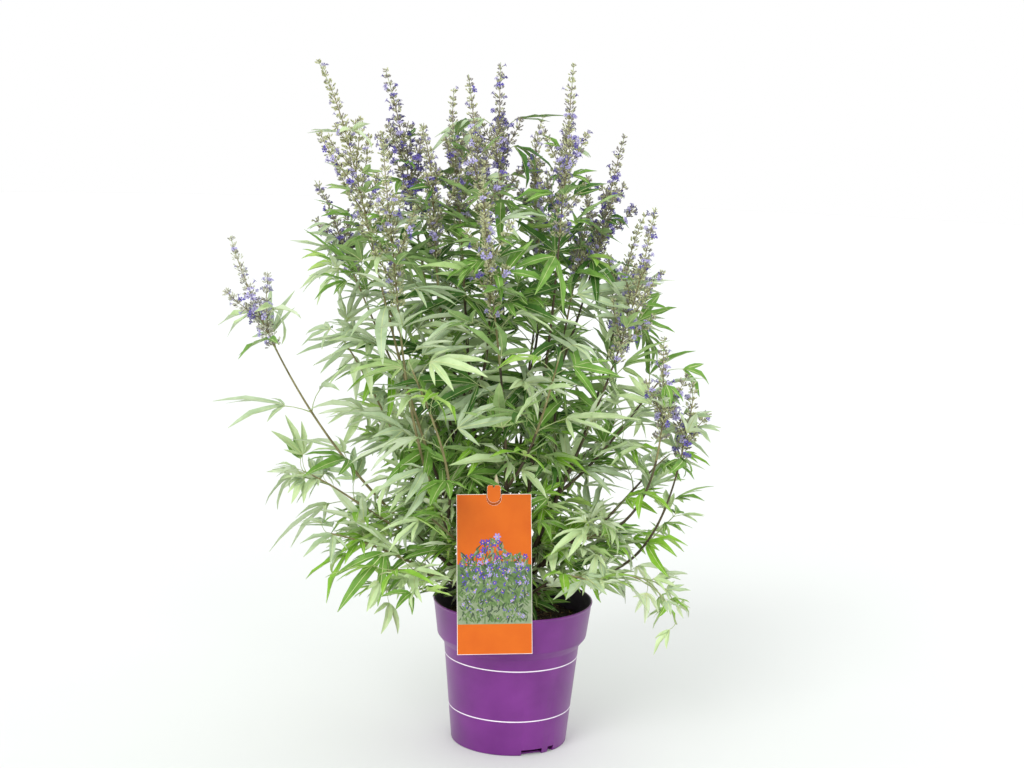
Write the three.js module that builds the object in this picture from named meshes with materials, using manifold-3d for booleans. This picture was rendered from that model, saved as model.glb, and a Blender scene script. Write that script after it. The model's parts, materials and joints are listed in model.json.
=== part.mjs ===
// Potted chaste tree: a many-stemmed flowering shrub in a 5 litre nursery pot, with a card label.
// Millimetres, +Z up. The origin is the centre of the pot's flat underside; -Y is the label's side.
import * as THREE from "three";
import { mergeVertices } from "three/addons/utils/BufferGeometryUtils.js";
import Module from "manifold-3d";

const wasm = await Module();
wasm.setup();

const UP = new THREE.Vector3(0, 0, 1);
const CLEARANCE = 0.3;

// Pot
const POT_HEIGHT = 200;
const RIM_RADIUS = 110;
const COLLAR_RADIUS = 103;
const COLLAR_FOOT = 151;
const SHOULDER_RADIUS = 93.5;
const SHOULDER_HEIGHT = 139;
const BASE_RADIUS = 80;
const BASE_ROUNDING = 3;
const WALL = 2;
const LIP = 3;
const POT_SIDES = 32;
const NOTCH_HEIGHT = 8;
const NOTCH_DEPTH = 12;
const NOTCH_GROUPS = 2;
const NOTCH_GROUP = [{ heading: -66, width: 31 }, { heading: -44, width: 11 }];
const SOIL_HEIGHT = 170;

// Card label, leaning back on the rim
const LABEL_WIDTH = 100;
const LABEL_LENGTH = 212;
const LABEL_THICKNESS = 1;
const LABEL_CENTRE = new THREE.Vector3(-26, -101.1, 260.5);
const LABEL_LEAN = 12;
const LABEL_YAW = 6;
const LABEL_ROLL = 1;
const TONGUE_WIDTH = 18;
const TONGUE_RISE = 12;
const TONGUE_DROP = 30;
const TONGUE_SHOULDER = 3;
const SLOT_WIDTH = 20;
const SLOT_DEPTH = 15;

// Trunk: a short stem from the soil to the last bough
const TRUNK_X = -8;
const TRUNK_HEIGHT = 74;
const TRUNK_RADIUS = 10;
const TRUNK_TOP_RADIUS = 7;
const ROOT_FLARE = 8;
const ROOT_FLARE_HEIGHT = 9;
const TRUNK_LEAN = 5;

// Limbs and shoots
const BOUGH_RADIUS = 3.4;
const BOUGH_TIP_RADIUS = 2.3;
const BOUGH_SIDES = 6;
const BOUGH_RING_STEP = 45;
const SHOOT_RADIUS = 2;
const SHOOT_TIP_RADIUS = 0.9;
const STEM_RING_STEP = 80;
const STEM_RINGS = 5;
const SIDE_SET_BACK = 7;
const SEATING_START = 12;
const SEATING_STEPS = 4;
const CURVE_PULL = 0.36;

// Leaves: five or three fingers on a stalk, in opposite pairs, each pair turned a quarter from the last
const BLADE_LENGTH = 98;
const BLADE_THICKNESS = 2.4;
const FINGER_SPREAD = 40;
const FINGER_LENGTHS = [1, 0.85, 0.55];
const BELLY_TURN = 17;
const BELLY_PLACE = 0.46;
const NOTCH_PLACE = 0.1;
const STALK_LENGTH = 42;
const STALK_RADIUS = 1;
const STALK_START = 6;
const ROOT_SINK = 4;
const PAIR_SPACING = 80;
const SPIRE_PAIR_SPACING = 120;
const LEAF_DROOP = 34;
const LEAF_ROLL = 100;
const LEAF_POSES = [
  { size: 1, rise: 0.5, swing: 0, fingers: 5 },
  { size: 0.9, rise: 1, swing: 35, fingers: 5 },
  { size: 0.9, rise: 1, swing: -35, fingers: 5 },
  { size: 0.75, rise: 1.9, swing: 0, fingers: 3 },
  { size: 0.75, rise: 1.9, swing: 50, fingers: 3 },
  { size: 0.75, rise: 1.9, swing: -50, fingers: 3 },
  { size: 0.6, rise: 2.4, swing: 0, fingers: 3 },
];

// Blossom spikes: whorls that narrow to the tip, with a pair of shorter spikes at the foot
const WHORL_SPACING = 31;
const WHORL_RADIUS = 16;
const WHORL_TIP_RADIUS = 5;
const WHORL_WAIST = 0.3;
const SIDE_SPIKE = 0.4;
const SIDE_SPIKE_START = 22;
const SIDE_SPIKE_LEAN = 36;

// Room that a leaf keeps from all else, how far it may reach past the middle between two stems, how far
// out the crown's leaves go, and the strip round the label that stays open
const ROOM = 0.8;
const OVERREACH = 26;
const CROWN_REACH = 200;
const LEAF_REACH = 62;
const SPIRE_LEAF_REACH = 34;
const LABEL_ROOM = 12;
const SEED = 2711;

// Boughs: heading in degrees from +X, reach and rise of the far end from the trunk's foot, height of the
// foot on the trunk, and steepness in degrees as it leaves and as it arrives. Each bough carries shoots, the
// masses of leaves, with the reach and rise of their tips and, for those in flower, the length of the spire.
// The first shoot carries the bough's own line on.
const BOUGHS = [
  {
    ...{ name: "low_left", heading: 187, reach: 96, rise: 62, foot: 12, leave: 14, arrive: 24 },
    shoots: [
      { name: "low_left_leaves", heading: 186, reach: 250, rise: 120, arrive: 10 },
      { name: "low_front_leaves", heading: 210, reach: 196, rise: 84, arrive: -14 },
    ],
  },
  {
    ...{ name: "far_left", heading: 183, reach: 128, rise: 116, foot: 26, leave: 26, arrive: 42 },
    shoots: [
      { name: "far_left_spire", heading: 186.7, reach: 386, rise: 524, arrive: 70, spike: 125 },
      { name: "far_left_leaves", heading: 172, reach: 292, rise: 190, arrive: 20 },
    ],
  },
  {
    ...{ name: "left_tall", heading: 197, reach: 88, rise: 166, foot: 44, leave: 54, arrive: 66 },
    shoots: [
      { name: "left_tall_spire", heading: 193, reach: 265, rise: 760, arrive: 72, spike: 190 },
      { name: "left_side_spire", heading: 177, reach: 268, rise: 600, arrive: 74, spike: 110 },
      { name: "left_mid_leaves", heading: 184, reach: 236, rise: 390, arrive: 54 },
    ],
  },
  {
    ...{ name: "left_front", heading: 212, reach: 104, rise: 150, foot: 34, leave: 50, arrive: 64 },
    shoots: [
      { name: "left_pale_spire", heading: 208, reach: 210, rise: 671, arrive: 78, spike: 180 },
      { name: "left_front_leaves", heading: 227, reach: 200, rise: 380, arrive: 60 },
    ],
  },
  {
    ...{ name: "left_back", heading: 157, reach: 80, rise: 216, foot: 50, leave: 62, arrive: 74 },
    shoots: [
      { name: "left_back_spire", heading: 163, reach: 192, rise: 746, arrive: 76, spike: 160 },
      { name: "left_back_leaves", heading: 146, reach: 236, rise: 430, arrive: 46 },
    ],
  },
  {
    ...{ name: "centre_left", heading: 172, reach: 58, rise: 300, foot: 66, leave: 70, arrive: 84 },
    shoots: [
      { name: "centre_left_spire", heading: 154, reach: 115, rise: 727, arrive: 80, spike: 150 },
      { name: "centre_pale_spire", heading: 203, reach: 76, rise: 749, arrive: 86, spike: 170 },
      { name: "inner_pale_spire", heading: 193, reach: 131, rise: 680, arrive: 80, spike: 140 },
    ],
  },
  {
    ...{ name: "centre_back", heading: 100, reach: 66, rise: 260, foot: 60, leave: 68, arrive: 80 },
    shoots: [
      { name: "centre_back_spire", heading: 111, reach: 96, rise: 762, arrive: 86, spike: 165 },
      { name: "back_high_spire", heading: 84, reach: 172, rise: 690, arrive: 78, spike: 140 },
    ],
  },
  {
    ...{ name: "centre_front", heading: 262, reach: 46, rise: 200, foot: 60, leave: 74, arrive: 80 },
    shoots: [
      { name: "centre_front_spire", heading: 249, reach: 139, rise: 632, arrive: 80, spike: 160 },
      { name: "centre_front_leaves", heading: 290, reach: 168, rise: 400, arrive: 60 },
    ],
  },
  {
    ...{ name: "right_centre", heading: 340, reach: 36, rise: 290, foot: 66, leave: 76, arrive: 82 },
    shoots: [
      { name: "right_centre_spire", heading: 343, reach: 68, rise: 764, arrive: 86, spike: 180 },
      { name: "right_high_spire", heading: 29, reach: 155, rise: 666, arrive: 80, spike: 150 },
    ],
  },
  {
    ...{ name: "right_tall", heading: 352, reach: 70, rise: 190, foot: 48, leave: 62, arrive: 68 },
    shoots: [
      { name: "right_tall_spire", heading: 353.6, reach: 179, rise: 580, arrive: 84, spike: 170 },
      { name: "right_inner_spire", heading: 30, reach: 113, rise: 609, arrive: 84, spike: 120 },
      { name: "right_mid_leaves", heading: 9, reach: 214, rise: 350, arrive: 50 },
    ],
  },
  {
    ...{ name: "right", heading: 345, reach: 112, rise: 126, foot: 34, leave: 48, arrive: 14 },
    shoots: [
      { name: "right_spire", heading: 344, reach: 199, rise: 412, arrive: 98, spike: 110 },
      { name: "right_leaves", heading: 12, reach: 224, rise: 230, arrive: 40 },
    ],
  },
  {
    ...{ name: "low_right", heading: 355, reach: 106, rise: 66, foot: 14, leave: 34, arrive: 5 },
    shoots: [
      { name: "low_right_spire", heading: 353, reach: 248, rise: 351, arrive: 80, spike: 85 },
      { name: "low_right_leaves", heading: 340, reach: 196, rise: 76, arrive: -30 },
    ],
  },
];

// The side away from the label carries a ring of like boughs, each with a spire and a leafy shoot. Every
// other spire stands higher.
const BACK_HEADINGS = [36, 84, 132];
const BACK_RING = {
  ...{ reach: 96, rise: 196, foot: 30, leave: 46, arrive: 58, stagger: 50 },
  spire: { reach: 190, rise: 560, arrive: 74, spike: 130 },
  leafy: { reach: 236, rise: 250, arrive: 30 },
};

// Low leafy shoots straight from the trunk fill the crown's foot and hang over the rim.
const SKIRT = [
  { name: "skirt_front_right", heading: 312, reach: 168, rise: 88, foot: 10, leave: 34, arrive: -14 },
  { name: "skirt_inner_right", heading: 330, reach: 150, rise: 150, foot: 22, leave: 56, arrive: 30 },
  { name: "skirt_inner_left", heading: 222, reach: 150, rise: 170, foot: 22, leave: 56, arrive: 40 },
  { name: "skirt_back_right", heading: 56, reach: 176, rise: 88, foot: 9, leave: 34, arrive: -12 },
  { name: "skirt_back_left", heading: 130, reach: 176, rise: 90, foot: 10, leave: 34, arrive: -12 },
];

// A stub of pale cut wood behind the label.
const CUT_STEM = { heading: 251, reach: 62, rise: 217, foot: 46, leave: 62, arrive: 80, radius: 3.2 };

const MATERIALS = {
  pot: new THREE.MeshStandardMaterial({ color: 0x8a3a9c, roughness: 0.42, metalness: 0 }),
  soil: new THREE.MeshStandardMaterial({ color: 0x2e241c, roughness: 0.95, metalness: 0 }),
  card: new THREE.MeshStandardMaterial({ color: 0xee7418, roughness: 0.5, metalness: 0 }),
  bark: new THREE.MeshStandardMaterial({ color: 0x6d5a4a, roughness: 0.85, metalness: 0 }),
  cutWood: new THREE.MeshStandardMaterial({ color: 0xcbbf9a, roughness: 0.8, metalness: 0 }),
  leaf: new THREE.MeshStandardMaterial({ color: 0x6a9a4f, roughness: 0.6, metalness: 0 }),
  blossom: new THREE.MeshStandardMaterial({ color: 0x7c8672, roughness: 0.7, metalness: 0 }),
};

function radians(degrees) {
  return THREE.MathUtils.degToRad(degrees);
}

// A repeatable stream of numbers from 0 to 1.
function seeded(seed) {
  let state = seed;
  return () => {
    state = (state * 16807) % 2147483647;
    return state / 2147483647;
  };
}

// The unit vector with a heading from +X and a steepness above level.
function aim(heading, steepness) {
  const level = Math.cos(radians(steepness));
  const x = Math.cos(radians(heading)) * level;
  const y = Math.sin(radians(heading)) * level;
  return new THREE.Vector3(x, y, Math.sin(radians(steepness)));
}

function place(heading, reach, rise) {
  return aim(heading, 0).multiplyScalar(reach).setZ(rise);
}

// A smooth curve that leaves one point and arrives at another in given directions.
function sweep(start, end, leaving, arriving) {
  const pull = start.distanceTo(end) * CURVE_PULL;
  const first = start.clone().addScaledVector(leaving, pull);
  const second = end.clone().addScaledVector(arriving, -pull);
  return new THREE.CubicBezierCurve3(start, first, second, end);
}

function solid(geometry) {
  const bare = new THREE.BufferGeometry();
  bare.setAttribute("position", geometry.getAttribute("position"));
  bare.setIndex(geometry.getIndex());
  const merged = mergeVertices(bare, 1e-4);
  const mesh = new wasm.Mesh({
    numProp: 3,
    vertProperties: new Float32Array(merged.getAttribute("position").array),
    triVerts: new Uint32Array(merged.getIndex().array),
  });
  return new wasm.Manifold(mesh);
}

// The surface of a solid's largest body, without its slivers.
function surface(joined) {
  const bodies = joined.simplify(0.05).decompose();
  bodies.sort((a, b) => b.volume() - a.volume());
  const mesh = bodies[0].getMesh();
  const geometry = new THREE.BufferGeometry();
  geometry.setAttribute("position", new THREE.BufferAttribute(mesh.vertProperties, 3));
  geometry.setIndex(new THREE.BufferAttribute(mesh.triVerts, 1));
  return geometry;
}

function fuse(geometries) {
  return surface(wasm.Manifold.union(geometries.map(solid)));
}

function named(name, geometry, material) {
  const flat = geometry.toNonIndexed();
  flat.computeVertexNormals();
  const mesh = new THREE.Mesh(flat, material);
  mesh.name = name;
  return mesh;
}

// A round limb along a curve: a cylinder bent to it, with its radius given from foot (0) to tip (1).
function limb(curve, radiusAt, sides, rings) {
  const geometry = new THREE.CylinderGeometry(1, 1, 1, sides, rings);
  const frames = curve.computeFrenetFrames(rings);
  const position = geometry.getAttribute("position");
  for (let i = 0; i < position.count; i += 1) {
    const ring = Math.round((position.getY(i) + 0.5) * rings);
    const radius = radiusAt(ring / rings);
    const point = curve.getPointAt(ring / rings);
    point.addScaledVector(frames.binormals[ring], position.getX(i) * radius);
    point.addScaledVector(frames.normals[ring], position.getZ(i) * radius);
    position.setXYZ(i, point.x, point.y, point.z);
  }
  return geometry;
}

function taper(from, to) {
  return (along) => THREE.MathUtils.lerp(from, to, along);
}

// The trunk's centre line and radius at a height above the soil.
function trunkPoint(height) {
  return new THREE.Vector3(Math.tan(radians(TRUNK_LEAN)) * height, 0, height);
}

function trunkRadius(height) {
  const straight = THREE.MathUtils.lerp(TRUNK_RADIUS, TRUNK_TOP_RADIUS, height / TRUNK_HEIGHT);
  return straight + ROOT_FLARE * Math.exp(-height / ROOT_FLARE_HEIGHT);
}

function trunkGeometry(extra) {
  const line = new THREE.LineCurve3(trunkPoint(0), trunkPoint(TRUNK_HEIGHT + extra));
  const geometry = limb(line, (along) => trunkRadius(along * TRUNK_HEIGHT) + extra, 12, 10);
  const position = geometry.getAttribute("position");
  for (let i = 0; i < position.count; i += 1) {
    const offGround = position.getZ(i) > TRUNK_HEIGHT * 0.05;
    position.setZ(i, offGround ? position.getZ(i) : -extra);
  }
  return geometry;
}

// A bough starts inside the trunk and is trimmed to its surface.
function boughCurve(row) {
  const start = trunkPoint(row.foot).addScaledVector(aim(row.heading, 0), trunkRadius(row.foot) - 3);
  const end = place(row.heading, row.reach, row.rise);
  return sweep(start, end, aim(row.heading, row.leave), aim(row.heading, row.arrive));
}

function boughGeometry(curve, radius, tipRadius) {
  const rings = Math.max(4, Math.round(curve.getLength() / BOUGH_RING_STEP));
  const whole = solid(limb(curve, taper(radius, tipRadius), BOUGH_SIDES, rings));
  return surface(whole.subtract(solid(trunkGeometry(CLEARANCE))));
}

// A leading shoot carries its bough's line on.
function leadingCurve(row, bough) {
  const along = bough.getTangentAt(1);
  const start = bough.getPointAt(1).addScaledVector(along, CLEARANCE);
  return sweep(start, place(row.heading, row.reach, row.rise), along, aim(row.heading, row.arrive));
}

// A side shoot leaves just below the bough's end, at an offset from the bough's centre line.
function sideCurve(row, bough, offset) {
  const tip = place(row.heading, row.reach, row.rise);
  const along = bough.getTangentAt(1);
  const end = bough.getPointAt(1);
  const wanted = tip.clone().sub(end).normalize();
  const across = wanted.addScaledVector(along, -wanted.dot(along)).normalize();
  const leaving = along.clone().addScaledVector(across, 0.8).normalize();
  const start = end.clone().addScaledVector(along, -SIDE_SET_BACK).addScaledVector(across, offset);
  return sweep(start, tip, leaving, aim(row.heading, row.arrive));
}

function skirtCurve(row, offset) {
  const leaving = aim(row.heading, row.leave);
  const start = trunkPoint(row.foot).addScaledVector(aim(row.heading, 0), offset);
  return sweep(start, place(row.heading, row.reach, row.rise), leaving, aim(row.heading, row.arrive));
}

// The curve of a shoot, drawn out or in until its stem stands just clear of the wood that it grows from.
function seated(row, wood, curveAt) {
  let offset = SEATING_START;
  for (let i = 0; i < SEATING_STEPS; i += 1) {
    offset += CLEARANCE - wood.minGap(stem(row, curveAt(offset)), SEATING_START);
  }
  return curveAt(offset);
}

// A shoot's stem runs to the foot of its spire, or to its tip. Its rail is the line of its rings' centres.
function stemRail(row, curve) {
  const share = 1 - ((row.spike ?? 0) * 0.96) / curve.getLength();
  const rings = Math.max(STEM_RINGS, Math.round((curve.getLength() * share) / STEM_RING_STEP));
  const points = Array.from({ length: rings + 1 }, (_, i) => curve.getPointAt((share * i) / rings));
  return { points, share };
}

function stem(row, curve) {
  const { points } = stemRail(row, curve);
  const rings = points.length - 1;
  return solid(limb(railCurve(points), taper(SHOOT_RADIUS, SHOOT_TIP_RADIUS), 3, rings));
}

// The straight lines from point to point, as one curve.
function railCurve(points) {
  const path = new THREE.CurvePath();
  points.slice(1).forEach((point, i) => path.add(new THREE.LineCurve3(points[i], point)));
  return path;
}

function segments(curve, count) {
  const points = curve.getSpacedPoints(count);
  return points.slice(1).map((point, i) => new THREE.Line3(points[i], point));
}

function distance(point, lines) {
  const nearest = new THREE.Vector3();
  let least = Infinity;
  for (const line of lines) {
    line.closestPointToPoint(point, true, nearest);
    least = Math.min(least, nearest.distanceTo(point));
  }
  return least;
}

function labelMatrix() {
  const matrix = new THREE.Matrix4().makeRotationZ(radians(LABEL_YAW));
  matrix.multiply(new THREE.Matrix4().makeRotationX(radians(90 - LABEL_LEAN)));
  matrix.multiply(new THREE.Matrix4().makeRotationZ(radians(LABEL_ROLL)));
  return matrix.setPosition(LABEL_CENTRE);
}

const toLabel = labelMatrix().invert();

// Whether a point of the plant is outside the space in front of the label, which stays open.
function offLabel(point) {
  const placed = new THREE.Vector3(point.x + TRUNK_X, point.y, point.z + SOIL_HEIGHT).applyMatrix4(toLabel);
  const beside = Math.abs(placed.x) > LABEL_WIDTH / 2 + LABEL_ROOM;
  const beyond = Math.abs(placed.y) > LABEL_LENGTH / 2 + LABEL_ROOM;
  return beside || beyond || placed.z < -LABEL_ROOM;
}

// The rim of a leaf cut in fingers: the belly, tip and belly of each, and the notch after it.
function fingerRim(fingers, size) {
  const middle = (fingers - 1) / 2;
  const rim = [];
  for (let i = 0; i < fingers; i += 1) {
    const turn = 90 + (i - middle) * FINGER_SPREAD;
    const length = BLADE_LENGTH * size * FINGER_LENGTHS[Math.abs(i - middle)];
    const last = i === fingers - 1;
    rim.push({ turn: turn - BELLY_TURN, reach: length * BELLY_PLACE });
    rim.push({ turn, reach: length });
    rim.push({ turn: turn + BELLY_TURN, reach: length * BELLY_PLACE });
    rim.push({ turn: last ? 270 : turn + FINGER_SPREAD / 2, reach: last ? ROOT_SINK : length * NOTCH_PLACE });
  }
  return rim;
}

// The blade of a leaf: a double pyramid on that rim, thickest where its stalk ends, bent down outwards.
function fingeredBlade(rim, droop) {
  const geometry = new THREE.SphereGeometry(1, rim.length, 2);
  const position = geometry.getAttribute("position");
  const columns = rim.length + 1;
  for (let i = 0; i < position.count; i += 1) {
    const row = Math.floor(i / columns);
    const { turn, reach } = rim[(i % columns) % rim.length];
    if (row === 1) {
      const fall = radians(droop) * (reach / BLADE_LENGTH);
      const out = aim(turn, 0).multiplyScalar(reach * Math.cos(fall));
      position.setXYZ(i, out.x, out.y, -reach * Math.sin(fall));
    } else {
      position.setXYZ(i, 0, 0, (1 - row) * BLADE_THICKNESS / 2);
    }
  }
  return geometry;
}

// A leaf at a point of the stem. Roll turns its face about its stalk. Feelers are what must have room:
// the blade, and the stalk from where it is well out of the stem.
function leaf(foot, direction, pose, roll, droop) {
  const across = new THREE.Vector3().crossVectors(direction, UP).normalize();
  const face = new THREE.Vector3().crossVectors(across, direction);
  const stalkEnd = foot.clone().addScaledVector(direction, STALK_LENGTH * pose.size);
  const frame = new THREE.Matrix4().makeBasis(across, direction, face).setPosition(stalkEnd);
  frame.multiply(new THREE.Matrix4().makeRotationY(radians(roll)));
  const blade = fingeredBlade(fingerRim(pose.fingers, pose.size), droop).applyMatrix4(frame);
  return stalked(foot, direction, STALK_LENGTH * pose.size, blade);
}

function stalked(foot, direction, length, blade) {
  const end = foot.clone().addScaledVector(direction, length + ROOT_SINK);
  const open = foot.clone().addScaledVector(direction, STALK_START);
  const stalk = solid(limb(new THREE.LineCurve3(foot, end), () => STALK_RADIUS, 3, 1));
  const free = solid(limb(new THREE.LineCurve3(open, end), () => STALK_RADIUS, 3, 1));
  const leafBlade = solid(blade);
  return { solids: [stalk, leafBlade], feelers: [free, leafBlade] };
}

// Part of a curve, between two shares of its length.
function stretch(curve, from, to) {
  const points = Array.from({ length: 7 }, (_, i) => curve.getPointAt(THREE.MathUtils.lerp(from, to, i / 6)));
  return new THREE.CatmullRomCurve3(points);
}

// A mass of leaves as it starts: its stem, its spire if it flowers, and how its leaves will stand.
function startMass(row, seed) {
  const { curve, spike = 0 } = row;
  const random = seeded(seed);
  const length = curve.getLength();
  const pieces = [stem(row, curve)];
  if (spike) {
    pieces.push(solid(spire(curve, spike)));
  }
  const spacing = spike ? SPIRE_PAIR_SPACING : PAIR_SPACING;
  const pairs = Math.max(2, Math.round((length - spike) / spacing));
  const leafyShare = 1 - spike / length;
  const firstTurn = random() * 90;
  const rail = stemRail(row, curve);
  return { ...row, pieces, pairs, leafyShare, random, firstTurn, rail, spine: segments(curve, 8) };
}

// A spire of blossom: its whorls swell and draw in again, and narrow to the tip.
function spire(curve, spike) {
  const whorls = Math.max(2, Math.round(spike / WHORL_SPACING));
  const line = stretch(curve, 1 - spike / curve.getLength(), 1);
  const profile = (along) => {
    const step = Math.round(along * whorls * 2);
    const swell = THREE.MathUtils.lerp(WHORL_RADIUS, WHORL_TIP_RADIUS, along);
    return step % 2 === 1 ? swell : swell * WHORL_WAIST;
  };
  return limb(line, profile, 4, whorls * 2);
}

// One of the pair of shorter spikes at the foot of a spire: a long spindle of blossom.
function sideSpike({ curve, spike }, turn, side) {
  const along = 1 - (spike * 0.97) / curve.getLength();
  const start = curve.getPointAt(along);
  const tangent = curve.getTangentAt(along);
  const across = aim(turn, 0).cross(tangent).normalize();
  const lean = radians(SIDE_SPIKE_LEAN);
  const direction = tangent.clone().multiplyScalar(Math.cos(lean));
  direction.addScaledVector(across, side * Math.sin(lean));
  const length = spike * SIDE_SPIKE + SIDE_SPIKE_START;
  const end = start.clone().addScaledVector(direction, length);
  const open = start.clone().addScaledVector(direction, SIDE_SPIKE_START);
  const swell = (share) => 1 + WHORL_RADIUS * 0.5 * Math.sin(Math.PI * share ** 0.8);
  const spindle = solid(limb(new THREE.LineCurve3(start, end), swell, 3, 3));
  const free = solid(limb(new THREE.LineCurve3(open, end), (share) => swell(share * 0.8 + 0.2), 3, 2));
  return { solids: [spindle], feelers: [free] };
}

function boxAround(manifold) {
  const { min, max } = manifold.boundingBox();
  return new THREE.Box3(new THREE.Vector3(...min), new THREE.Vector3(...max));
}

// The solids that are already in place, each with the box round it.
class Taken {
  constructor() {
    this.items = [];
  }

  add(manifold) {
    this.items.push({ manifold, box: boxAround(manifold) });
  }

  leavesRoomFor(manifold) {
    const box = boxAround(manifold).expandByScalar(ROOM);
    const near = this.items.filter((item) => item.box.intersectsBox(box));
    return near.every((item) => item.manifold.minGap(manifold, ROOM) >= ROOM);
  }
}

// The corners of a solid.
function corners(manifold) {
  const { vertProperties, numProp } = manifold.getMesh();
  return Array.from({ length: vertProperties.length / numProp }, (_, i) =>
    new THREE.Vector3().fromArray(vertProperties, i * numProp),
  );
}

function addIfFree(mass, part, taken, isInSpace) {
  if (!part.feelers.flatMap(corners).every((corner) => isInSpace(corner, mass))) {
    return false;
  }
  if (!part.feelers.every((feeler) => taken.leavesRoomFor(feeler))) {
    return false;
  }
  part.feelers.forEach((feeler) => taken.add(feeler));
  mass.pieces.push(...part.solids);
  return true;
}

// A pair of opposite leaves, each in the first pose that has room.
function leafPair(mass, pair, taken, isInSpace) {
  const { curve, rail, random, pairs, leafyShare, firstTurn } = mass;
  const along = ((pair + 0.6) / pairs) * leafyShare;
  const foot = railCurve(rail.points).getPoint(along / rail.share);
  const tangent = curve.getTangentAt(along);
  for (const half of [0, 180]) {
    const heading = firstTurn + pair * 90 + half + (random() - 0.5) * 30;
    const roll = (random() - 0.5) * LEAF_ROLL;
    const droop = LEAF_DROOP * (0.4 + random());
    LEAF_POSES.some((pose) => {
      const outward = aim(heading + pose.swing, 0);
      outward.addScaledVector(tangent, -outward.dot(tangent)).normalize();
      const direction = outward.addScaledVector(tangent, pose.rise).normalize();
      return addIfFree(mass, leaf(foot, direction, pose, roll, droop), taken, isInSpace);
    });
  }
}

function backRing() {
  const { spire, leafy, stagger, ...bough } = BACK_RING;
  return BACK_HEADINGS.map((heading, i) => {
    const name = `back_${i + 1}`;
    const odd = i % 2;
    const shoots = [
      { ...spire, name: `${name}_spire`, heading: heading - 8, rise: spire.rise + stagger * odd },
      { ...leafy, name: `${name}_leaves`, heading: heading + 14 },
    ];
    return { ...bough, name, heading, foot: bough.foot + 5 * odd, shoots };
  });
}

// A solid turned from a profile of radii and heights.
function turned(profile) {
  const geometry = new THREE.LatheGeometry(profile.map(([r, z]) => new THREE.Vector2(r, z)), POT_SIDES);
  return solid(geometry.rotateX(Math.PI / 2));
}

// A thin wall with a collar, open at the top. Groups of a wide and a narrow notch let water out at its foot.
function potGeometry() {
  let pot = turned([
    [0, 0],
    [BASE_RADIUS - BASE_ROUNDING, 0],
    [BASE_RADIUS, BASE_ROUNDING],
    [SHOULDER_RADIUS, SHOULDER_HEIGHT],
    [SHOULDER_RADIUS + 2, SHOULDER_HEIGHT + 4],
    [COLLAR_RADIUS - 2, COLLAR_FOOT - 4],
    [COLLAR_RADIUS, COLLAR_FOOT],
    [RIM_RADIUS - 1, POT_HEIGHT - LIP],
    [RIM_RADIUS, POT_HEIGHT - LIP / 2],
    [RIM_RADIUS - 1, POT_HEIGHT],
    [RIM_RADIUS - WALL - 1, POT_HEIGHT],
    [COLLAR_RADIUS - WALL, COLLAR_FOOT + 1],
    [SHOULDER_RADIUS - WALL, SHOULDER_HEIGHT + 1],
    [BASE_RADIUS - WALL, WALL],
    [0, WALL],
  ]);
  for (let group = 0; group < NOTCH_GROUPS; group += 1) {
    for (const { heading, width } of NOTCH_GROUP) {
      const notch = new THREE.BoxGeometry(NOTCH_DEPTH, width, NOTCH_HEIGHT * 2);
      notch.translate(BASE_RADIUS - NOTCH_DEPTH / 2 + 4, 0, 0);
      notch.rotateZ(radians(heading + (360 / NOTCH_GROUPS) * group));
      pot = pot.subtract(solid(notch));
    }
  }
  return surface(pot);
}

// The soil fills the pot to below the collar's top, just clear of the wall and of the notches.
function soilGeometry() {
  const inset = WALL + CLEARANCE;
  return surface(turned([
    [0, inset],
    [BASE_RADIUS - WALL - NOTCH_DEPTH, inset],
    [BASE_RADIUS - inset, NOTCH_HEIGHT + 6],
    [SHOULDER_RADIUS - inset - 0.1, SHOULDER_HEIGHT + 1],
    [COLLAR_RADIUS - inset - 0.2, COLLAR_FOOT + 1.5],
    [COLLAR_RADIUS - inset + 2.1, SOIL_HEIGHT],
    [0, SOIL_HEIGHT],
  ]));
}

function potGroup() {
  const group = new THREE.Group();
  group.add(named("nursery_pot", potGeometry(), MATERIALS.pot));
  group.add(named("potting_soil", soilGeometry(), MATERIALS.soil));
  return group;
}

// The card, with an arched slot in the middle of its top edge.
function cardShape() {
  const half = LABEL_WIDTH / 2;
  const end = LABEL_LENGTH / 2;
  const arch = SLOT_WIDTH / 2;
  const shape = new THREE.Shape();
  shape.moveTo(-half, -end);
  shape.lineTo(half, -end);
  shape.lineTo(half, end);
  shape.lineTo(arch, end);
  shape.lineTo(arch, end - SLOT_DEPTH + arch);
  shape.absarc(0, end - SLOT_DEPTH + arch, arch, 0, Math.PI, true);
  shape.lineTo(-arch, end);
  shape.lineTo(-half, end);
  shape.closePath();
  return shape;
}

// The tongue behind the slot: it stands above the card's edge and has a small notch in its top.
function tongueShape() {
  const half = TONGUE_WIDTH / 2;
  const foot = half + TONGUE_SHOULDER;
  const edge = LABEL_LENGTH / 2;
  const top = edge + TONGUE_RISE;
  const corners = [
    [-foot, edge - TONGUE_DROP],
    [foot, edge - TONGUE_DROP],
    [foot, edge - 2],
    [half, edge - 2],
    [half, top],
    [2, top],
    [0, top - 4],
    [-2, top],
    [-half, top],
    [-half, edge - 2],
    [-foot, edge - 2],
  ];
  return new THREE.Shape(corners.map(([x, y]) => new THREE.Vector2(x, y)));
}

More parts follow.
